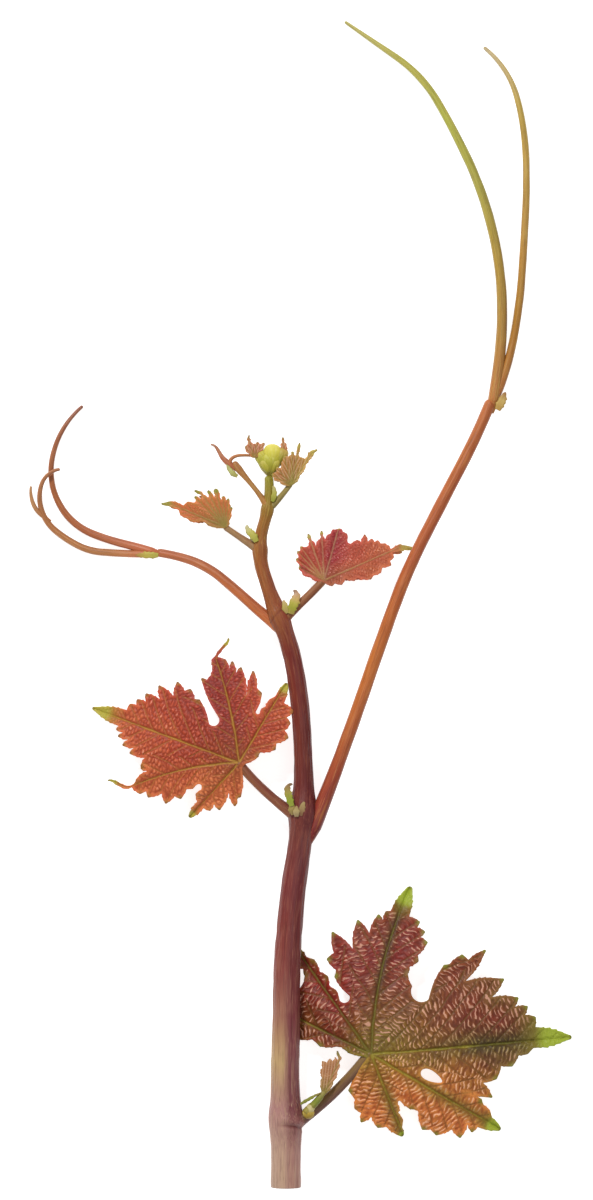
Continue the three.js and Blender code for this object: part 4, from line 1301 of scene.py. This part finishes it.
# %% Looks
# foot_reach is how far the colour of the foot reaches, dents, shine, side_share and vein_share
# say how strong each is, fine and long give the size of wrinkles, and lines is how much of a
# glint follows the waves. A higher spot makes glints rarer.
PLAIN_LOOK = {
    "foot_reach": 0.4, "dents": 0.8, "shine": 0.7, "side_share": 0.4, "vein_share": 0.7, "rough": 0.38,
    "fine": 1.3, "long": 0.45, "relief": 0.3, "spot": 0.85, "lines": 0.5,
}
LOOKS = {
    "leaf_1": {
        "colours": ["#962a20", "#8c4826", "#bc7832", "#f6944a"], "crests": ["#d29a82", "#f6ba92"],
        "veins": ["#78742a", "#b0a43c"], "side_vein": "#7c6428", "tips": ["#7e7420", "#9cac30"],
        "foot": "#8c8a28", "foot_reach": 0.46, "dents": 1.0, "fine": 2.1, "long": 0.75, "shine": 0.8,
        "spot": 0.58, "lines": 0.9,
    },
    "leaf_2": {
        "colours": ["#a83a2e", "#ca5636", "#ee8a52"], "crests": ["#d88e7c", "#e6a686"],
        "veins": ["#c0923a", "#c49a3e"], "side_vein": "#bc843c",
        "tips": ["#a07e2c", "#aea63c"], "foot": "#a85830",
        "dents": 1.0, "fine": 2.2, "long": 0.9, "shine": 0.7, "spot": 0.86, "lines": 0.35,
    },
    "leaf_3": {
        "colours": ["#b03a3e", "#cc5e48", "#dc8454"], "crests": ["#e09a98", "#e8ac90"],
        "veins": ["#b08460", "#b48c54"], "side_vein": "#b86a54",
        "tips": ["#a87848", "#a89a48"], "foot": "#a05a3c",
        "dents": 0.8, "fine": 2.0, "long": 0.7, "shine": 0.75, "spot": 0.72,
    },
    "leaf_4": {
        "colours": ["#d06e3e", "#d68646", "#dc9c52"], "crests": ["#e4a888", "#ecb890"],
        "veins": ["#8c8038", "#8c8038"], "side_vein": "#8e7c3a",
        "tips": ["#a8843c", "#8e8a34"], "foot": "#8c7a3c",
        "dents": 0.5, "side_share": 0.45, "foot_reach": 0.7, "fine": 2.2, "long": 1.0,
    },
    "leaf_5": {
        "colours": ["#bc6c3e", "#c48c46", "#caa24c"], "crests": ["#e0aa80", "#e4b888"],
        "veins": ["#8a7c34", "#948a3c"], "side_vein": "#e0b890",
        "tips": ["#b48c44", "#b4a04c"], "foot": "#8c8038",
        "dents": 0.6, "side_share": 0.6, "foot_reach": 0.6, "fine": 2.4, "long": 2.0,
    },
    "lateral_leaf": {
        "colours": ["#b4764a", "#bf8a56"], "crests": ["#e0a888", "#e8b894"],
        "veins": ["#8a8038", "#948a3c"], "side_vein": "#dcb08e",
        "tips": ["#a0884c", "#8c8040"], "foot": "#7c7a2c",
        "dents": 0.5, "side_share": 0.6, "foot_reach": 0.5, "fine": 2.4, "long": 2.0,
    },
    "tip_leaf": {
        "colours": ["#ac6038", "#b87440"], "crests": ["#e4a888", "#ecb890"],
        "veins": ["#8f7a38", "#8f7a38"], "side_vein": "#e4b494",
        "tips": ["#a87048", "#9c7c44"], "foot": "#a88a44",
        "dents": 0.6, "side_share": 0.6, "fine": 2.6, "long": 2.0,
    },
}


def finish_of(name):
    """The finish of a look, with what all looks have in common."""
    return blade_finish("blade_" + name, {**PLAIN_LOOK, **LOOKS[name]})


print("looks:", *LOOKS)

# %% [markdown]
# ## Open leaves
# Leaves 1 and 2 have opened flat. Each is written down as a gardener would describe it: where
# its foot is, some numbers for the whole sheet, and its lobes from right to left. A lobe has
# the heading and the length of its main vein, how high its tip lies, the bay after it, and the
# tips and valleys on its right and left side. Leaf 1 also has a hole, where two lobes part and
# meet again.

# %% Leaf 1
# For the sheet: cell is the side of its squares, droop how late it falls, puff how far it rises
# between main veins, tooth the half width of a tooth's tip. gap and angle set the side veins
# apart. bead is the length of a cushion, breaks how often a row of them is broken, ripple how
# much of it is a plain wave, and wander how much that wave strays. veins and groove are width
# and depth of the veins, puckers and waves the height of cushions and of slow waves.
# tooth_tips, tooth_lime and burnt say how far and how much the tips are coloured.
# For a lobe: tint and tint_far are its colour near the foot and further out, finger the half
# width of its tip, lime how far that is lime, band the half width of its olive band, margin
# how olive its edge is, and bow and curl the degrees by which its vein bends.
def lobe(heading, length, low, sinus, right, left, **more):
    """low is the height of the tip, and sinus the bay's heading, reach and perhaps radius."""
    return {
        "heading": heading, "length": length, "low": low, "sinus": sinus,
        "right": right, "left": left, **more,
    }


LEAF_1 = {
    "foot": (18.7, 29.7, 8.5), "cell": 0.2, "droop": 1.5, "puff": 1.4, "tooth": 0.24,
    "gap": 2.7, "angle": 40, "bead": 1.0, "breaks": 1.3, "ripple": 0.5, "wander": 0.55, "veins": 1.0,
    "puckers": 0.5, "groove": 0.35, "waves": 0.2, "tooth_tips": 1.6, "tooth_lime": 0.9, "burnt": 0.5,
    "hole": (13.3, -5.0, 2.6, 1.15, -28),
    "lobes": [
        lobe(-69, 20, 0.9, (-59, 11.5),
             [(6, 7.6), (8.3, 7.0), (10.2, 7.8), (11.6, 6.8), (13.6, 7.6), (13.3, 5), (16.2, 4.5),
              (16.6, 2.8)],
             [(12.8, 1.5), (14.5, 0.9), (16.5, 1.3), (18, 0.5)], tint=0.9, finger=0.4, lime=1.6, band=1.0),
        lobe(-31, 33.5, 0.5, (-22.7, 21.4),
             [(14, 6), (15.5, 5.7), (18.6, 8.8), (20, 7.8), (21.6, 8.3), (24, 5.4), (26.6, 6.1),
              (26.5, 2.7), (28.2, 3.7), (28.7, 2.1)],
             [(26.4, 3.6), (27.3, 2.9), (29.2, 2.5), (30.4, 1.4)],
             tint=0.98, finger=0.45, lime=5, band=1.2),
        lobe(4, 44.5, 0.4, (51, 15.3, 2.3),
             [(26, 11.7), (24.2, 8.3), (27.2, 7.7),
              (28.4, 4.9), (30.8, 5.2), (32.4, 2.9), (34.6, 2.7), (35.8, 1.6)],
             [(17.6, 18.3), (18.6, 18.4), (21.6, 20.2), (22.8, 19), (26.8, 20.8), (21.9, 14.4),
              (30.4, 14.1), (27.5, 10.4), (33.3, 9.7), (32.4, 7.9), (35.2, 7.7), (34.5, 5.9),
              (36.8, 5.2), (36.6, 3.0)],
             tint=0.5, tint_far=-0.2, finger=0.42, lime=11, band=2.8, margin=0.8),
        lobe(76.5, 37.5, 1.2, (115.5, 12.5, 1.2),
             [(18.6, 5.9), (20, 5.8), (21.6, 7.4), (22.8, 6.9), (26.2, 8.1), (27, 6.3), (28.3, 6.9),
              (29, 4.9), (30.2, 5.1), (31, 2.4)],
             [(16, 9.9), (17.2, 9.9), (19.2, 12.4), (20.6, 11.2), (24.8, 12.8), (22.1, 7.4),
              (28.2, 8.2), (26, 4.9), (30.2, 4.2), (29.2, 2.9), (31.2, 2.9), (31.4, 2.0)],
             bow=12, tint=0.12, tint_far=-0.1, finger=0.6, lime=6.5, band=0.7, margin=0.15),
        lobe(126, 28.5, 1.0, (138, 21),
             [(16, 1.9), (17.5, 1.4), (19.2, 2.3), (21, 1.4), (24, 1.9), (25.3, 0.9)],
             [(22.5, 1.9), (23.6, 1.3), (25.2, 2.1), (26.4, 0.9)], tint=0.12, finger=0.5, lime=2.5),
        lobe(155, 22, 0.8, (224, 0.8),
             [],
             [(5, 1.8), (7.5, 1.8), (11, 3.4), (13, 2.8), (16.2, 4.3), (18, 1.9)],
             tint=0.2, tint_far=0.1, finger=0.6, lime=2.5, margin=0.15),
    ],
}
print("leaf 1 has", len(LEAF_1["lobes"]), "lobes")

# %% Leaf 2
LEAF_2 = {
    "foot": (-10.3, 93.7, 9.5), "cell": 0.14, "droop": 1.5, "puff": 1.0, "tooth": 0.24,
    "gap": 2.3, "angle": 44, "bead": 0.85, "breaks": 2.4, "ripple": 0.2, "wander": 0.25, "veins": 0.75,
    "puckers": 0.4, "groove": 0.26, "waves": 0.14, "tooth_tips": 1.3, "tooth_lime": 0.6, "burnt": 0.5,
    "lobes": [
        lobe(59, 20.4, 8.6, (69.5, 11.4, 0.45),
             [(3.6, 2.9), (4.3, 2.9), (6.7, 5.4), (7.8, 4.9), (10.3, 6.5), (11.2, 5), (13.3, 5.2),
              (13.9, 3.9), (15.8, 4.5), (16.3, 1.8)],
             [(12.9, 1.8), (13.6, 1.4), (15.6, 1.3), (16.8, 0.7)], tint=0.55, finger=0.4, lime=3.2),
        lobe(104, 27.4, 3.4, (121, 9.6, 1.25),
             [(14.3, 7.6), (15.4, 6.9), (19.1, 7.1), (14.2, 4.2), (20.4, 4.7), (19.4, 3.4), (22, 3.3),
              (20.6, 2.3), (22.8, 2), (23.6, 0.4)],
             [(19.8, 4.3), (19.2, 3.3), (22.2, 1.4), (24, 0.35)],
             bow=-8, curl=-9, tint=0.0, finger=0.2, lime=2.6),
        lobe(160, 34.6, 0.4, (185, 19.5),
             [(13.1, 10), (13.9, 9.8), (15.6, 11.5), (16.6, 10.7), (18.8, 12), (18.6, 8.8), (22.4, 9.8),
              (21.2, 7.1), (24.5, 7.1), (23.9, 5.5), (25.9, 5.2), (25.6, 4.1), (27, 3.8), (27.2, 2.3)],
             [(20.1, 8.3), (19.9, 6.3), (23.4, 6.4), (22.9, 5.1), (25.5, 5.3), (24.7, 3.8), (27.1, 3.8),
              (26.3, 2.7), (28, 2.5), (27.7, 1.7)], tint=0.4, tint_far=0.35, finger=0.32, lime=6.5),
        lobe(195, 29.4, 0.6, (206, 10),
             [(21.5, 3.2), (20.3, 1.9), (23.2, 0.75), (24.3, 0.25)],
             [(10.9, 4.6), (12.2, 4.4), (13.9, 6.2), (15.1, 5.3), (17.5, 6.3), (18, 3.9), (21.3, 3.6),
              (21.4, 2.3), (22.7, 2.4), (24.4, 0.25)],
             bow=-13, curl=-6.8, tint=0.85, finger=0.13, lime=3.2),
        lobe(228, 16.5, 3, (316, 0.8),
             [(9.2, 3), (10, 2.2), (11.5, 2.5), (12.6, 1.1)],
             [(5.6, 5.3), (6.2, 5.1), (7.8, 5.8), (6.5, 2.8), (10.8, 3.8), (10.6, 2.1), (12.3, 2.4),
              (12.8, 1.0)], tint=0.95, finger=0.4, lime=2.4),
    ],
}
print("leaf 2 has", len(LEAF_2["lobes"]), "lobes")

# %% Dress the open leaves
def dress_open_leaf(name, leaf, finish):
    """A flat leaf is one blade."""
    mesh = make_blade(name + "_blade", leaf, blade_outline(leaf))
    link(name + "_blade", mesh, finish, [name])
    print(name, "blade has", len(mesh.polygons), "faces")


dress_open_leaf("leaf_1", LEAF_1, finish_of("leaf_1"))
dress_open_leaf("leaf_2", LEAF_2, finish_of("leaf_2"))

# %% [markdown]
# ## Folded leaves
# The youngest leaves still lie folded along their middle vein, like a closed fan: one half
# shows, and the other lies under it and peeps out between its teeth. The hidden half is the
# same outline, a little smaller, and sinks away from the fold.

# %% Leaf 3
# folded is the size of the hidden half, as a share of the shown one.
LEAF_3 = {
    "foot": (8.4, 133.7, 9), "cell": 0.11, "droop": 1.3, "puff": 0.5, "folded": 0.87, "tooth": 0.17,
    "gap": 1.35, "angle": 36, "bead": 0.62, "breaks": 1.9, "ripple": 0.5, "wander": 0.4, "veins": 0.5,
    "puckers": 0.36, "groove": -0.12, "waves": 0.26, "tooth_tips": 0.7, "tooth_lime": 0.5, "burnt": 0.7,
    "lobes": [
        lobe(23.5, 21, 4.5, (54, 9.8),
             [(1.2, 1.9), (1.9, 1.6), (3.1, 2.5), (4.4, 1.5), (6.1, 2.8), (6.9, 2.5), (9.6, 3.9),
              (10.4, 3.4), (12.2, 3.4), (12.8, 2.6), (14.9, 2.8), (15, 1.9), (16.1, 1.5), (16.2, 0.5)],
             [(10.3, 5.2), (10.7, 4.5), (12.2, 5.7), (12.2, 4), (13.3, 4.2), (13.5, 3.3), (14.3, 3.4),
              (14.6, 2.5), (15.4, 2.2), (16.2, 0.5)],
             curl=-3.5, tint=0.6, tint_far=0.2, finger=0.28, lime=4.5),
        lobe(74.6, 11.8, 8, (88.5, 8.9),
             [(9.3, 3.1), (9.8, 2.6), (11.2, 2.1), (11.4, 1.1)],
             [(9.9, 1.9), (10.3, 1.4), (11.3, 1.1), (11.4, 0.6)], tint=0.05, finger=0.5, lime=0.4),
        lobe(93.2, 10.9, 8, (104.5, 7.5), [(9.3, 0.6), (9.7, 0.3)], [(9, 0.6), (9.5, 0.25)],
             tint=0.35, finger=0.2, lime=1.2),
        lobe(109.2, 10.8, 7.5, (119.5, 8.2), [(8.8, 0.6), (9.3, 0.3)], [(8.7, 0.7), (9.1, 0.3)],
             tint=0.5, finger=0.2, lime=1.6),
        lobe(125.4, 9.1, 7.5, (129, 8.2), [], [], tint=0.5, finger=0.2, lime=0.6),
        lobe(133, 8.7, 7.5, (138, 7.4), [], [], tint=0.5, finger=0.2, lime=0.6),
        lobe(143, 7.8, 7.5, (148, 6.4), [], [], tint=0.5, finger=0.2, lime=0.6),
        lobe(153, 6.3, 7.5, (227, 0.5), [], [(2.5, 1.0), (3.4, 0.9), (4.8, 1.1), (5.3, 0.6)],
             tint=0.4, finger=0.3, lime=0.5),
    ],
}
print("leaf 3 has", len(LEAF_3["lobes"]), "lobes")

# %% Leaves 4 and 5
LEAF_4 = {
    "foot": (-13.3, 145.3, 8.6), "cell": 0.11, "droop": 1.3, "puff": 0.3, "folded": 0.85, "tooth": 0.15,
    "gap": 0.9, "angle": 30, "bead": 0.5, "breaks": 1.4, "ripple": 0.2, "wander": 0.25, "veins": 0.4,
    "puckers": 0.18, "groove": -0.1, "waves": 0.16, "tooth_tips": 0.6, "tooth_lime": 0.6, "burnt": 0.7,
    "lobes": [
        lobe(72, 4.7, 8.4, (78, 3.9), [(1.3, 0.5), (1.9, 0.4), (3, 0.5), (3.6, 0.25)], [],
             tint=0.2, finger=0.2, lime=0.6),
        lobe(84, 6.4, 8.4, (88.5, 5.7), [(4.9, 0.7), (5.3, 0.4)], [], tint=0.25, finger=0.22, lime=0.6),
        lobe(94, 6.9, 8.4, (100, 6.4), [], [(6.2, 0.6), (6.4, 0.35)], tint=0.3, finger=0.35, lime=0.4),
        lobe(104.5, 8.8, 8, (110, 7), [], [(7.1, 0.6), (7.4, 0.4)], tint=0.35, finger=0.4, lime=1.5),
        lobe(115.5, 9, 7.6, (120.5, 7.6), [], [(7.8, 0.4), (8, 0.25)], tint=0.4, finger=0.27, lime=1.2),
        lobe(125.5, 10.6, 7.2, (131, 8.2), [(8.2, 0.6), (8.7, 0.3)], [(8.4, 0.5), (8.8, 0.25)],
             curl=4, tint=0.4, finger=0.24, lime=1.8),
        lobe(135, 9.6, 7.2, (142, 8.8), [], [(8.7, 0.6), (9, 0.3)], tint=0.4, finger=0.25, lime=0.7),
        lobe(156.5, 15.1, 5, (324, 0.4), [(9.9, 1.9), (10.4, 0.8)],
             [(3.8, 1.1), (5.4, 0.9), (7.7, 1.9), (8.7, 1.6), (10.2, 1.5), (11, 0.6)],
             curl=3, tint=0.1, finger=0.2, lime=3),
    ],
}
LEAF_5 = {
    "foot": (1.2, 154.5, 9.8), "cell": 0.09, "droop": 1.3, "puff": 0.2, "folded": 0.85, "tooth": 0.14,
    "gap": 0.62, "angle": 17, "bead": 0.5, "breaks": 0.9, "ripple": 0, "wander": 0.2, "veins": 0.3,
    "puckers": 0.1, "groove": -0.14, "waves": 0.14, "tooth_tips": 0.5, "tooth_lime": 0.5, "burnt": 0.7,
    "lobes": [
        lobe(58.5, 9.7, 9.4, (67, 6.6),
             [(2.4, 0.6), (3.2, 0.5), (5, 0.6), (6.2, 0.45)], [(6.5, 0.6), (6.9, 0.35)],
             curl=-4, tint=0.9, finger=0.22, lime=2.6),
        lobe(79, 9.5, 10.6, (84.5, 6.5), [(6.6, 0.5), (6.9, 0.25)], [(6.6, 0.4), (6.9, 0.2)],
             tint=0.6, finger=0.15, lime=2),
        lobe(88.5, 7.4, 11, (95, 6.2), [], [(6.6, 0.4), (6.8, 0.2)], tint=0.6, finger=0.28, lime=0.8),
        lobe(104, 6.5, 11, (116, 5), [], [(5.4, 0.9), (5.7, 0.5)], tint=0.5, finger=0.3, lime=0.5),
        lobe(130, 5.1, 11, (141, 4.4), [(4.5, 0.5), (4.7, 0.3)], [(4.6, 0.5), (4.8, 0.3)],
             tint=0.3, finger=0.25, lime=0.5),
        lobe(152, 4.9, 10.6, (233, 0.4), [], [(2.4, 0.7), (3, 0.5), (3.8, 0.9), (4.2, 0.4)],
             tint=0.3, finger=0.3, lime=0.5),
    ],
}
print("leaves 4 and 5 have", len(LEAF_4["lobes"]), "and", len(LEAF_5["lobes"]), "lobes")

# %% The side shoot's leaf and the two at the tip
LATERAL_LEAF = {
    "foot": (8.3, 20.9, 8.1), "cell": 0.09, "droop": 1.3, "puff": 0.2, "folded": 0.85, "tooth": 0.14,
    "gap": 0.6, "angle": 16, "bead": 0.5, "breaks": 0.9, "ripple": 0, "wander": 0.2, "veins": 0.3,
    "puckers": 0.08, "groove": -0.12, "waves": 0.1, "tooth_tips": 0.5, "tooth_lime": 0.5, "burnt": 0.6,
    "lobes": [
        lobe(66.5, 10.1, 9.4, (250, 0.5),
             [(3.1, 0.9), (3.7, 0.8), (5.4, 0.9), (6.1, 0.75), (7.5, 0.5), (8, 0.28)],
             [(2.8, 1.9), (3.3, 1.8), (4.8, 2.85), (5.3, 2.6), (6.6, 3.3), (6.7, 2.2), (7.8, 1.9),
              (7.5, 1.2), (8.2, 0.9), (8.3, 0.28)], curl=6, tint=0.5, finger=0.2, lime=1.6),
    ],
}
TIP_LEFT = {
    "foot": (-6.9, 160.6, 9.6), "cell": 0.08, "droop": 1.2, "puff": 0.0, "folded": 0.85, "tooth": 0.13,
    "gap": 0.55, "angle": 20, "bead": 0.45, "breaks": 0.9, "ripple": 0, "wander": 0.2, "veins": 0.3,
    "puckers": 0.08, "groove": -0.12, "waves": 0.16, "tooth_tips": 0.5, "tooth_lime": 0.4, "burnt": 0.8,
    "lobes": [
        lobe(56, 3.9, 8.6, (66, 3.0), [(1.5, 0.6), (1.9, 0.45), (2.7, 0.6), (3.1, 0.35)], [],
             tint=0.4, finger=0.25, lime=0.4),
        lobe(80, 3.5, 8.6, (93, 2.9), [], [(3, 0.4), (3.1, 0.25)], tint=0.4, finger=0.25, lime=0.4),
        lobe(108, 5.1, 8.6, (119, 3.2), [(3.2, 0.55), (3.5, 0.28)], [(3.4, 0.5), (3.7, 0.25)],
             curl=-4, tint=0.5, finger=0.18, lime=1.2),
        lobe(131, 3.2, 8.6, (250, 0.3), [], [(1.2, 0.4), (1.6, 0.35), (2.3, 0.6), (2.6, 0.35)],
             tint=0.4, finger=0.25, lime=0.5),
    ],
}
TIP_RIGHT = {
    "foot": (-0.5, 161.5, 9), "cell": 0.08, "droop": 1.2, "puff": 0.0, "folded": 0.85, "tooth": 0.13,
    "gap": 0.5, "angle": 22, "bead": 0.45, "breaks": 0.9, "ripple": 0, "wander": 0.2, "veins": 0.3,
    "puckers": 0.08, "groove": -0.12, "waves": 0.14, "tooth_tips": 0.5, "tooth_lime": 0.4, "burnt": 0.8,
    "lobes": [
        lobe(93, 3.6, 8.6, (270, 0.3), [(1.2, 0.9), (1.6, 0.75), (2.2, 0.7), (2.4, 0.3)],
             [(1, 0.6), (1.4, 0.5), (2.1, 0.6), (2.4, 0.28)], tint=0.6, finger=0.18, lime=0.8),
    ],
}
print("the small leaves are", TIP_LEFT["cell"], "to", LATERAL_LEAF["cell"], "mm to a square")

# %% [markdown]
# ### Two halves of a folded leaf
# The crease runs along the longest lobe. The further a place of the hidden half is from the
# crease, the lower it lies, so that the two halves open like the leaves of a book.

# %% Dress the folded leaves
CREASE_DROP = 0.45
CREASE_SLOPE = 0.3
BAY_REACH = 0.5          # how far the corner of a narrow bay is rounded on a small leaf


def below_crease(leaf):
    """How far the hidden half lies under the shown one."""
    longest = max(leaf["lobes"], key=lambda each: each["length"])
    turn = math.radians(longest["heading"])

    def drop(x, y):
        return -CREASE_DROP - CREASE_SLOPE * np.abs(y * math.cos(turn) - x * math.sin(turn))

    return drop


def dress_folded_leaf(name, leaf, finish):
    """The half that shows, and the hidden one under it."""
    outline = blade_outline(leaf, BAY_REACH)
    halves = [("_blade", outline, None), ("_far_half", outline * leaf["folded"], below_crease(leaf))]
    faces = 0
    for part, shape, drop in halves:
        mesh = make_blade(name + part, leaf, shape, drop)
        link(name + part, mesh, finish, [name])
        faces += len(mesh.polygons)
    print(name, "is folded, and its halves have", faces, "faces")


dress_folded_leaf("leaf_3", LEAF_3, finish_of("leaf_3"))
dress_folded_leaf("leaf_4", LEAF_4, finish_of("leaf_4"))
dress_folded_leaf("leaf_5", LEAF_5, finish_of("leaf_5"))
dress_folded_leaf("lateral_leaf", LATERAL_LEAF, finish_of("lateral_leaf"))
tip_finish = finish_of("tip_leaf")
dress_folded_leaf("tip_leaf_left", TIP_LEFT, tip_finish)
dress_folded_leaf("tip_leaf_right", TIP_RIGHT, tip_finish)

# %% [markdown]
# ## Buds
# The growing point is a goblet of young scales pressed together. Each scale is a ball that is
# drawn out to an egg, creased along its length. Two more of them cover the root of the side
# shoot at the first leaf.

# %% Buds from eggs
def scale(centre, half, lean, colours, taper=0.12):
    """A scale of a bud: its middle, half sizes, lean to the left in degrees, and colours."""
    return {"centre": centre, "half": half, "lean": lean, "colours": colours, "taper": taper}


BUDS = {
    "tip_bud": ("bud_green", [
        scale((-3.6, 159.0, 8), (2.5, 2.7, 2), 3, ["#8a7a30", "#a4a032", "#b6b23e"], 0.5),
        scale((-3.0, 161.3, 8.3), (2.1, 2.3, 1.8), -4, ["#b2aa40", "#c8c04a", "#d4c858"]),
        scale((-5.1, 160.2, 8.3), (1.5, 2.2, 1.4), 26, ["#8e8c2e", "#a8a436", "#bcb048"], 0.25),
        scale((-1.3, 160.6, 8.2), (1.5, 2.4, 1.4), -26, ["#8c8430", "#a09a36", "#b89850"], 0.25),
        scale((-4.3, 158.9, 9.2), (1.15, 1.7, 0.8), 14, ["#9a9230", "#b0a83c", "#cabc6c"], 0.3),
        scale((-2.5, 158.8, 9.1), (1.1, 1.6, 0.8), -14, ["#968c30", "#a8a038", "#beb454"], 0.3),
    ]),
    "lateral_scale": ("scale_green", [
        scale((4.9, 16.6, 7.2), (1.4, 1.2, 1.2), 0, ["#96782c", "#ae9238", "#b8a04c"]),
        scale((5.3, 17.7, 7.5), (1.0, 1.3, 1.1), -30, ["#b8a460", "#c8ba84", "#b8a86c"]),
    ]),
}


def egg(name, parts):
    """A ball with creases from end to end, drawn out along the shoot."""
    half, lean = np.array(parts["half"]), math.radians(parts["lean"])
    bm = bmesh.new()
    bmesh.ops.create_uvsphere(bm, u_segments=48, v_segments=32, radius=1)
    mesh = bpy.data.meshes.new(name)
    bm.to_mesh(mesh)
    bm.free()
    ball = corners_of(mesh)[:, [0, 2, 1]] * [1, 1, -1]
    turn = np.arctan2(ball[:, 0], ball[:, 2])
    ends = np.sqrt(np.clip(1 - ball[:, 1] ** 2, 0, 1))
    creases = 0.03 * np.cos(6 * turn + 2 * ball[:, 1])
    swell = 1 + ends * (creases + 0.05 * round_noise(turn, ball[:, 1], 1, 1, 71))
    grain = (ball * half)[:, [0, 2, 1]]
    share = (ball[:, 1] + 1) / 2
    taper = 1 + parts["taper"] * ball[:, 1]
    ball = ball * (swell[:, None] * np.column_stack([taper, np.ones(len(taper)), taper])) * half
    x = ball[:, 0] * math.cos(lean) - ball[:, 1] * math.sin(lean)
    y = ball[:, 0] * math.sin(lean) + ball[:, 1] * math.cos(lean)
    put_corners(mesh, to_frame(np.column_stack([x, y, ball[:, 2]]) + parts["centre"]))
    note(mesh, "grain", grain)
    note(mesh, "scar", np.zeros(len(ball)))
    note(mesh, "share", share)
    close_tube(mesh)
    return mesh


for name, (slot, scales) in BUDS.items():
    for index, parts in enumerate(scales):
        piece = f"{name}_scale_{index + 1}"
        skin = bark(piece, parts["colours"], parts["colours"], ["#dcd490"], 0.4, 0.15, 0.1)
        link(piece, egg(piece, parts), skin, [name])
print("scales:", {name: len(scales) for name, (slot, scales) in BUDS.items()})

# %% [markdown]
# ## The cut face
# The blade that cut the shoot left pith, wood and bark in rings. A circle is inset twice, so
# that each ring has faces of its own, and each ring gets its own finish.

# %% Rings of the cut
CUT_HEIGHT = 3.3         # of the middle of the cut above the table
CUT_RADIUS = 3.22
BARK_WIDTH = 0.45
WOOD_WIDTH = 1.15
PITH_EDGE = 0.3
WOOD_DENT = -0.05
PITH_DENT = -0.12
CUT_FRONT = -0.01        # just in front of the end of the bark


def ring_finish(name, first, second):
    """Dry, gritty and in two colours."""
    material, tree, shader = start_material(name)
    grit = noise(tree, millimetres(tree), 2.2, 4.0)
    colour = ramp(tree, grit, [(0.35, paint(first)), (0.65, paint(second))])
    tree.links.new(colour, shader.inputs["Base Color"])
    shader.inputs["Roughness"].default_value = 0.75
    tree.links.new(bump(tree, grit, 0.4, 0.1 * MM), shader.inputs["Normal"])
    return material


bm = bmesh.new()
bmesh.ops.create_circle(bm, cap_ends=True, radius=CUT_RADIUS, segments=64)
disc = list(bm.faces)
bark_ring = bmesh.ops.inset_region(bm, faces=disc, thickness=BARK_WIDTH, use_boundary=True)["faces"]
core = [f for f in bm.faces if f not in set(bark_ring)]
wood_ring = bmesh.ops.inset_region(bm, faces=core, thickness=WOOD_WIDTH, depth=WOOD_DENT)["faces"]
pith = [f for f in bm.faces if f not in set(bark_ring) | set(wood_ring)]
bmesh.ops.inset_region(bm, faces=pith, thickness=PITH_EDGE, depth=PITH_DENT)
for face in bm.faces:
    face.material_index = 0 if face in set(bark_ring) else 1 if face in set(wood_ring) else 2
for corner in bm.verts:
    x, y, z = corner.co
    corner.co = to_frame((x, CUT_FRONT - z, CUT_HEIGHT + y))
bmesh.ops.recalc_face_normals(bm, faces=bm.faces)
cut_mesh = bpy.data.meshes.new("cut_face")
bm.to_mesh(cut_mesh)
bm.free()
link("cut_face", cut_mesh, ring_finish("cut_bark", "#7c5548", "#96705c"), [])
cut_mesh.materials.append(ring_finish("cut_wood", "#c8b48c", "#dccca4"))
cut_mesh.materials.append(ring_finish("cut_pith", "#a8906c", "#c4ae88"))
print("the cut face has", len(cut_mesh.polygons), "faces")
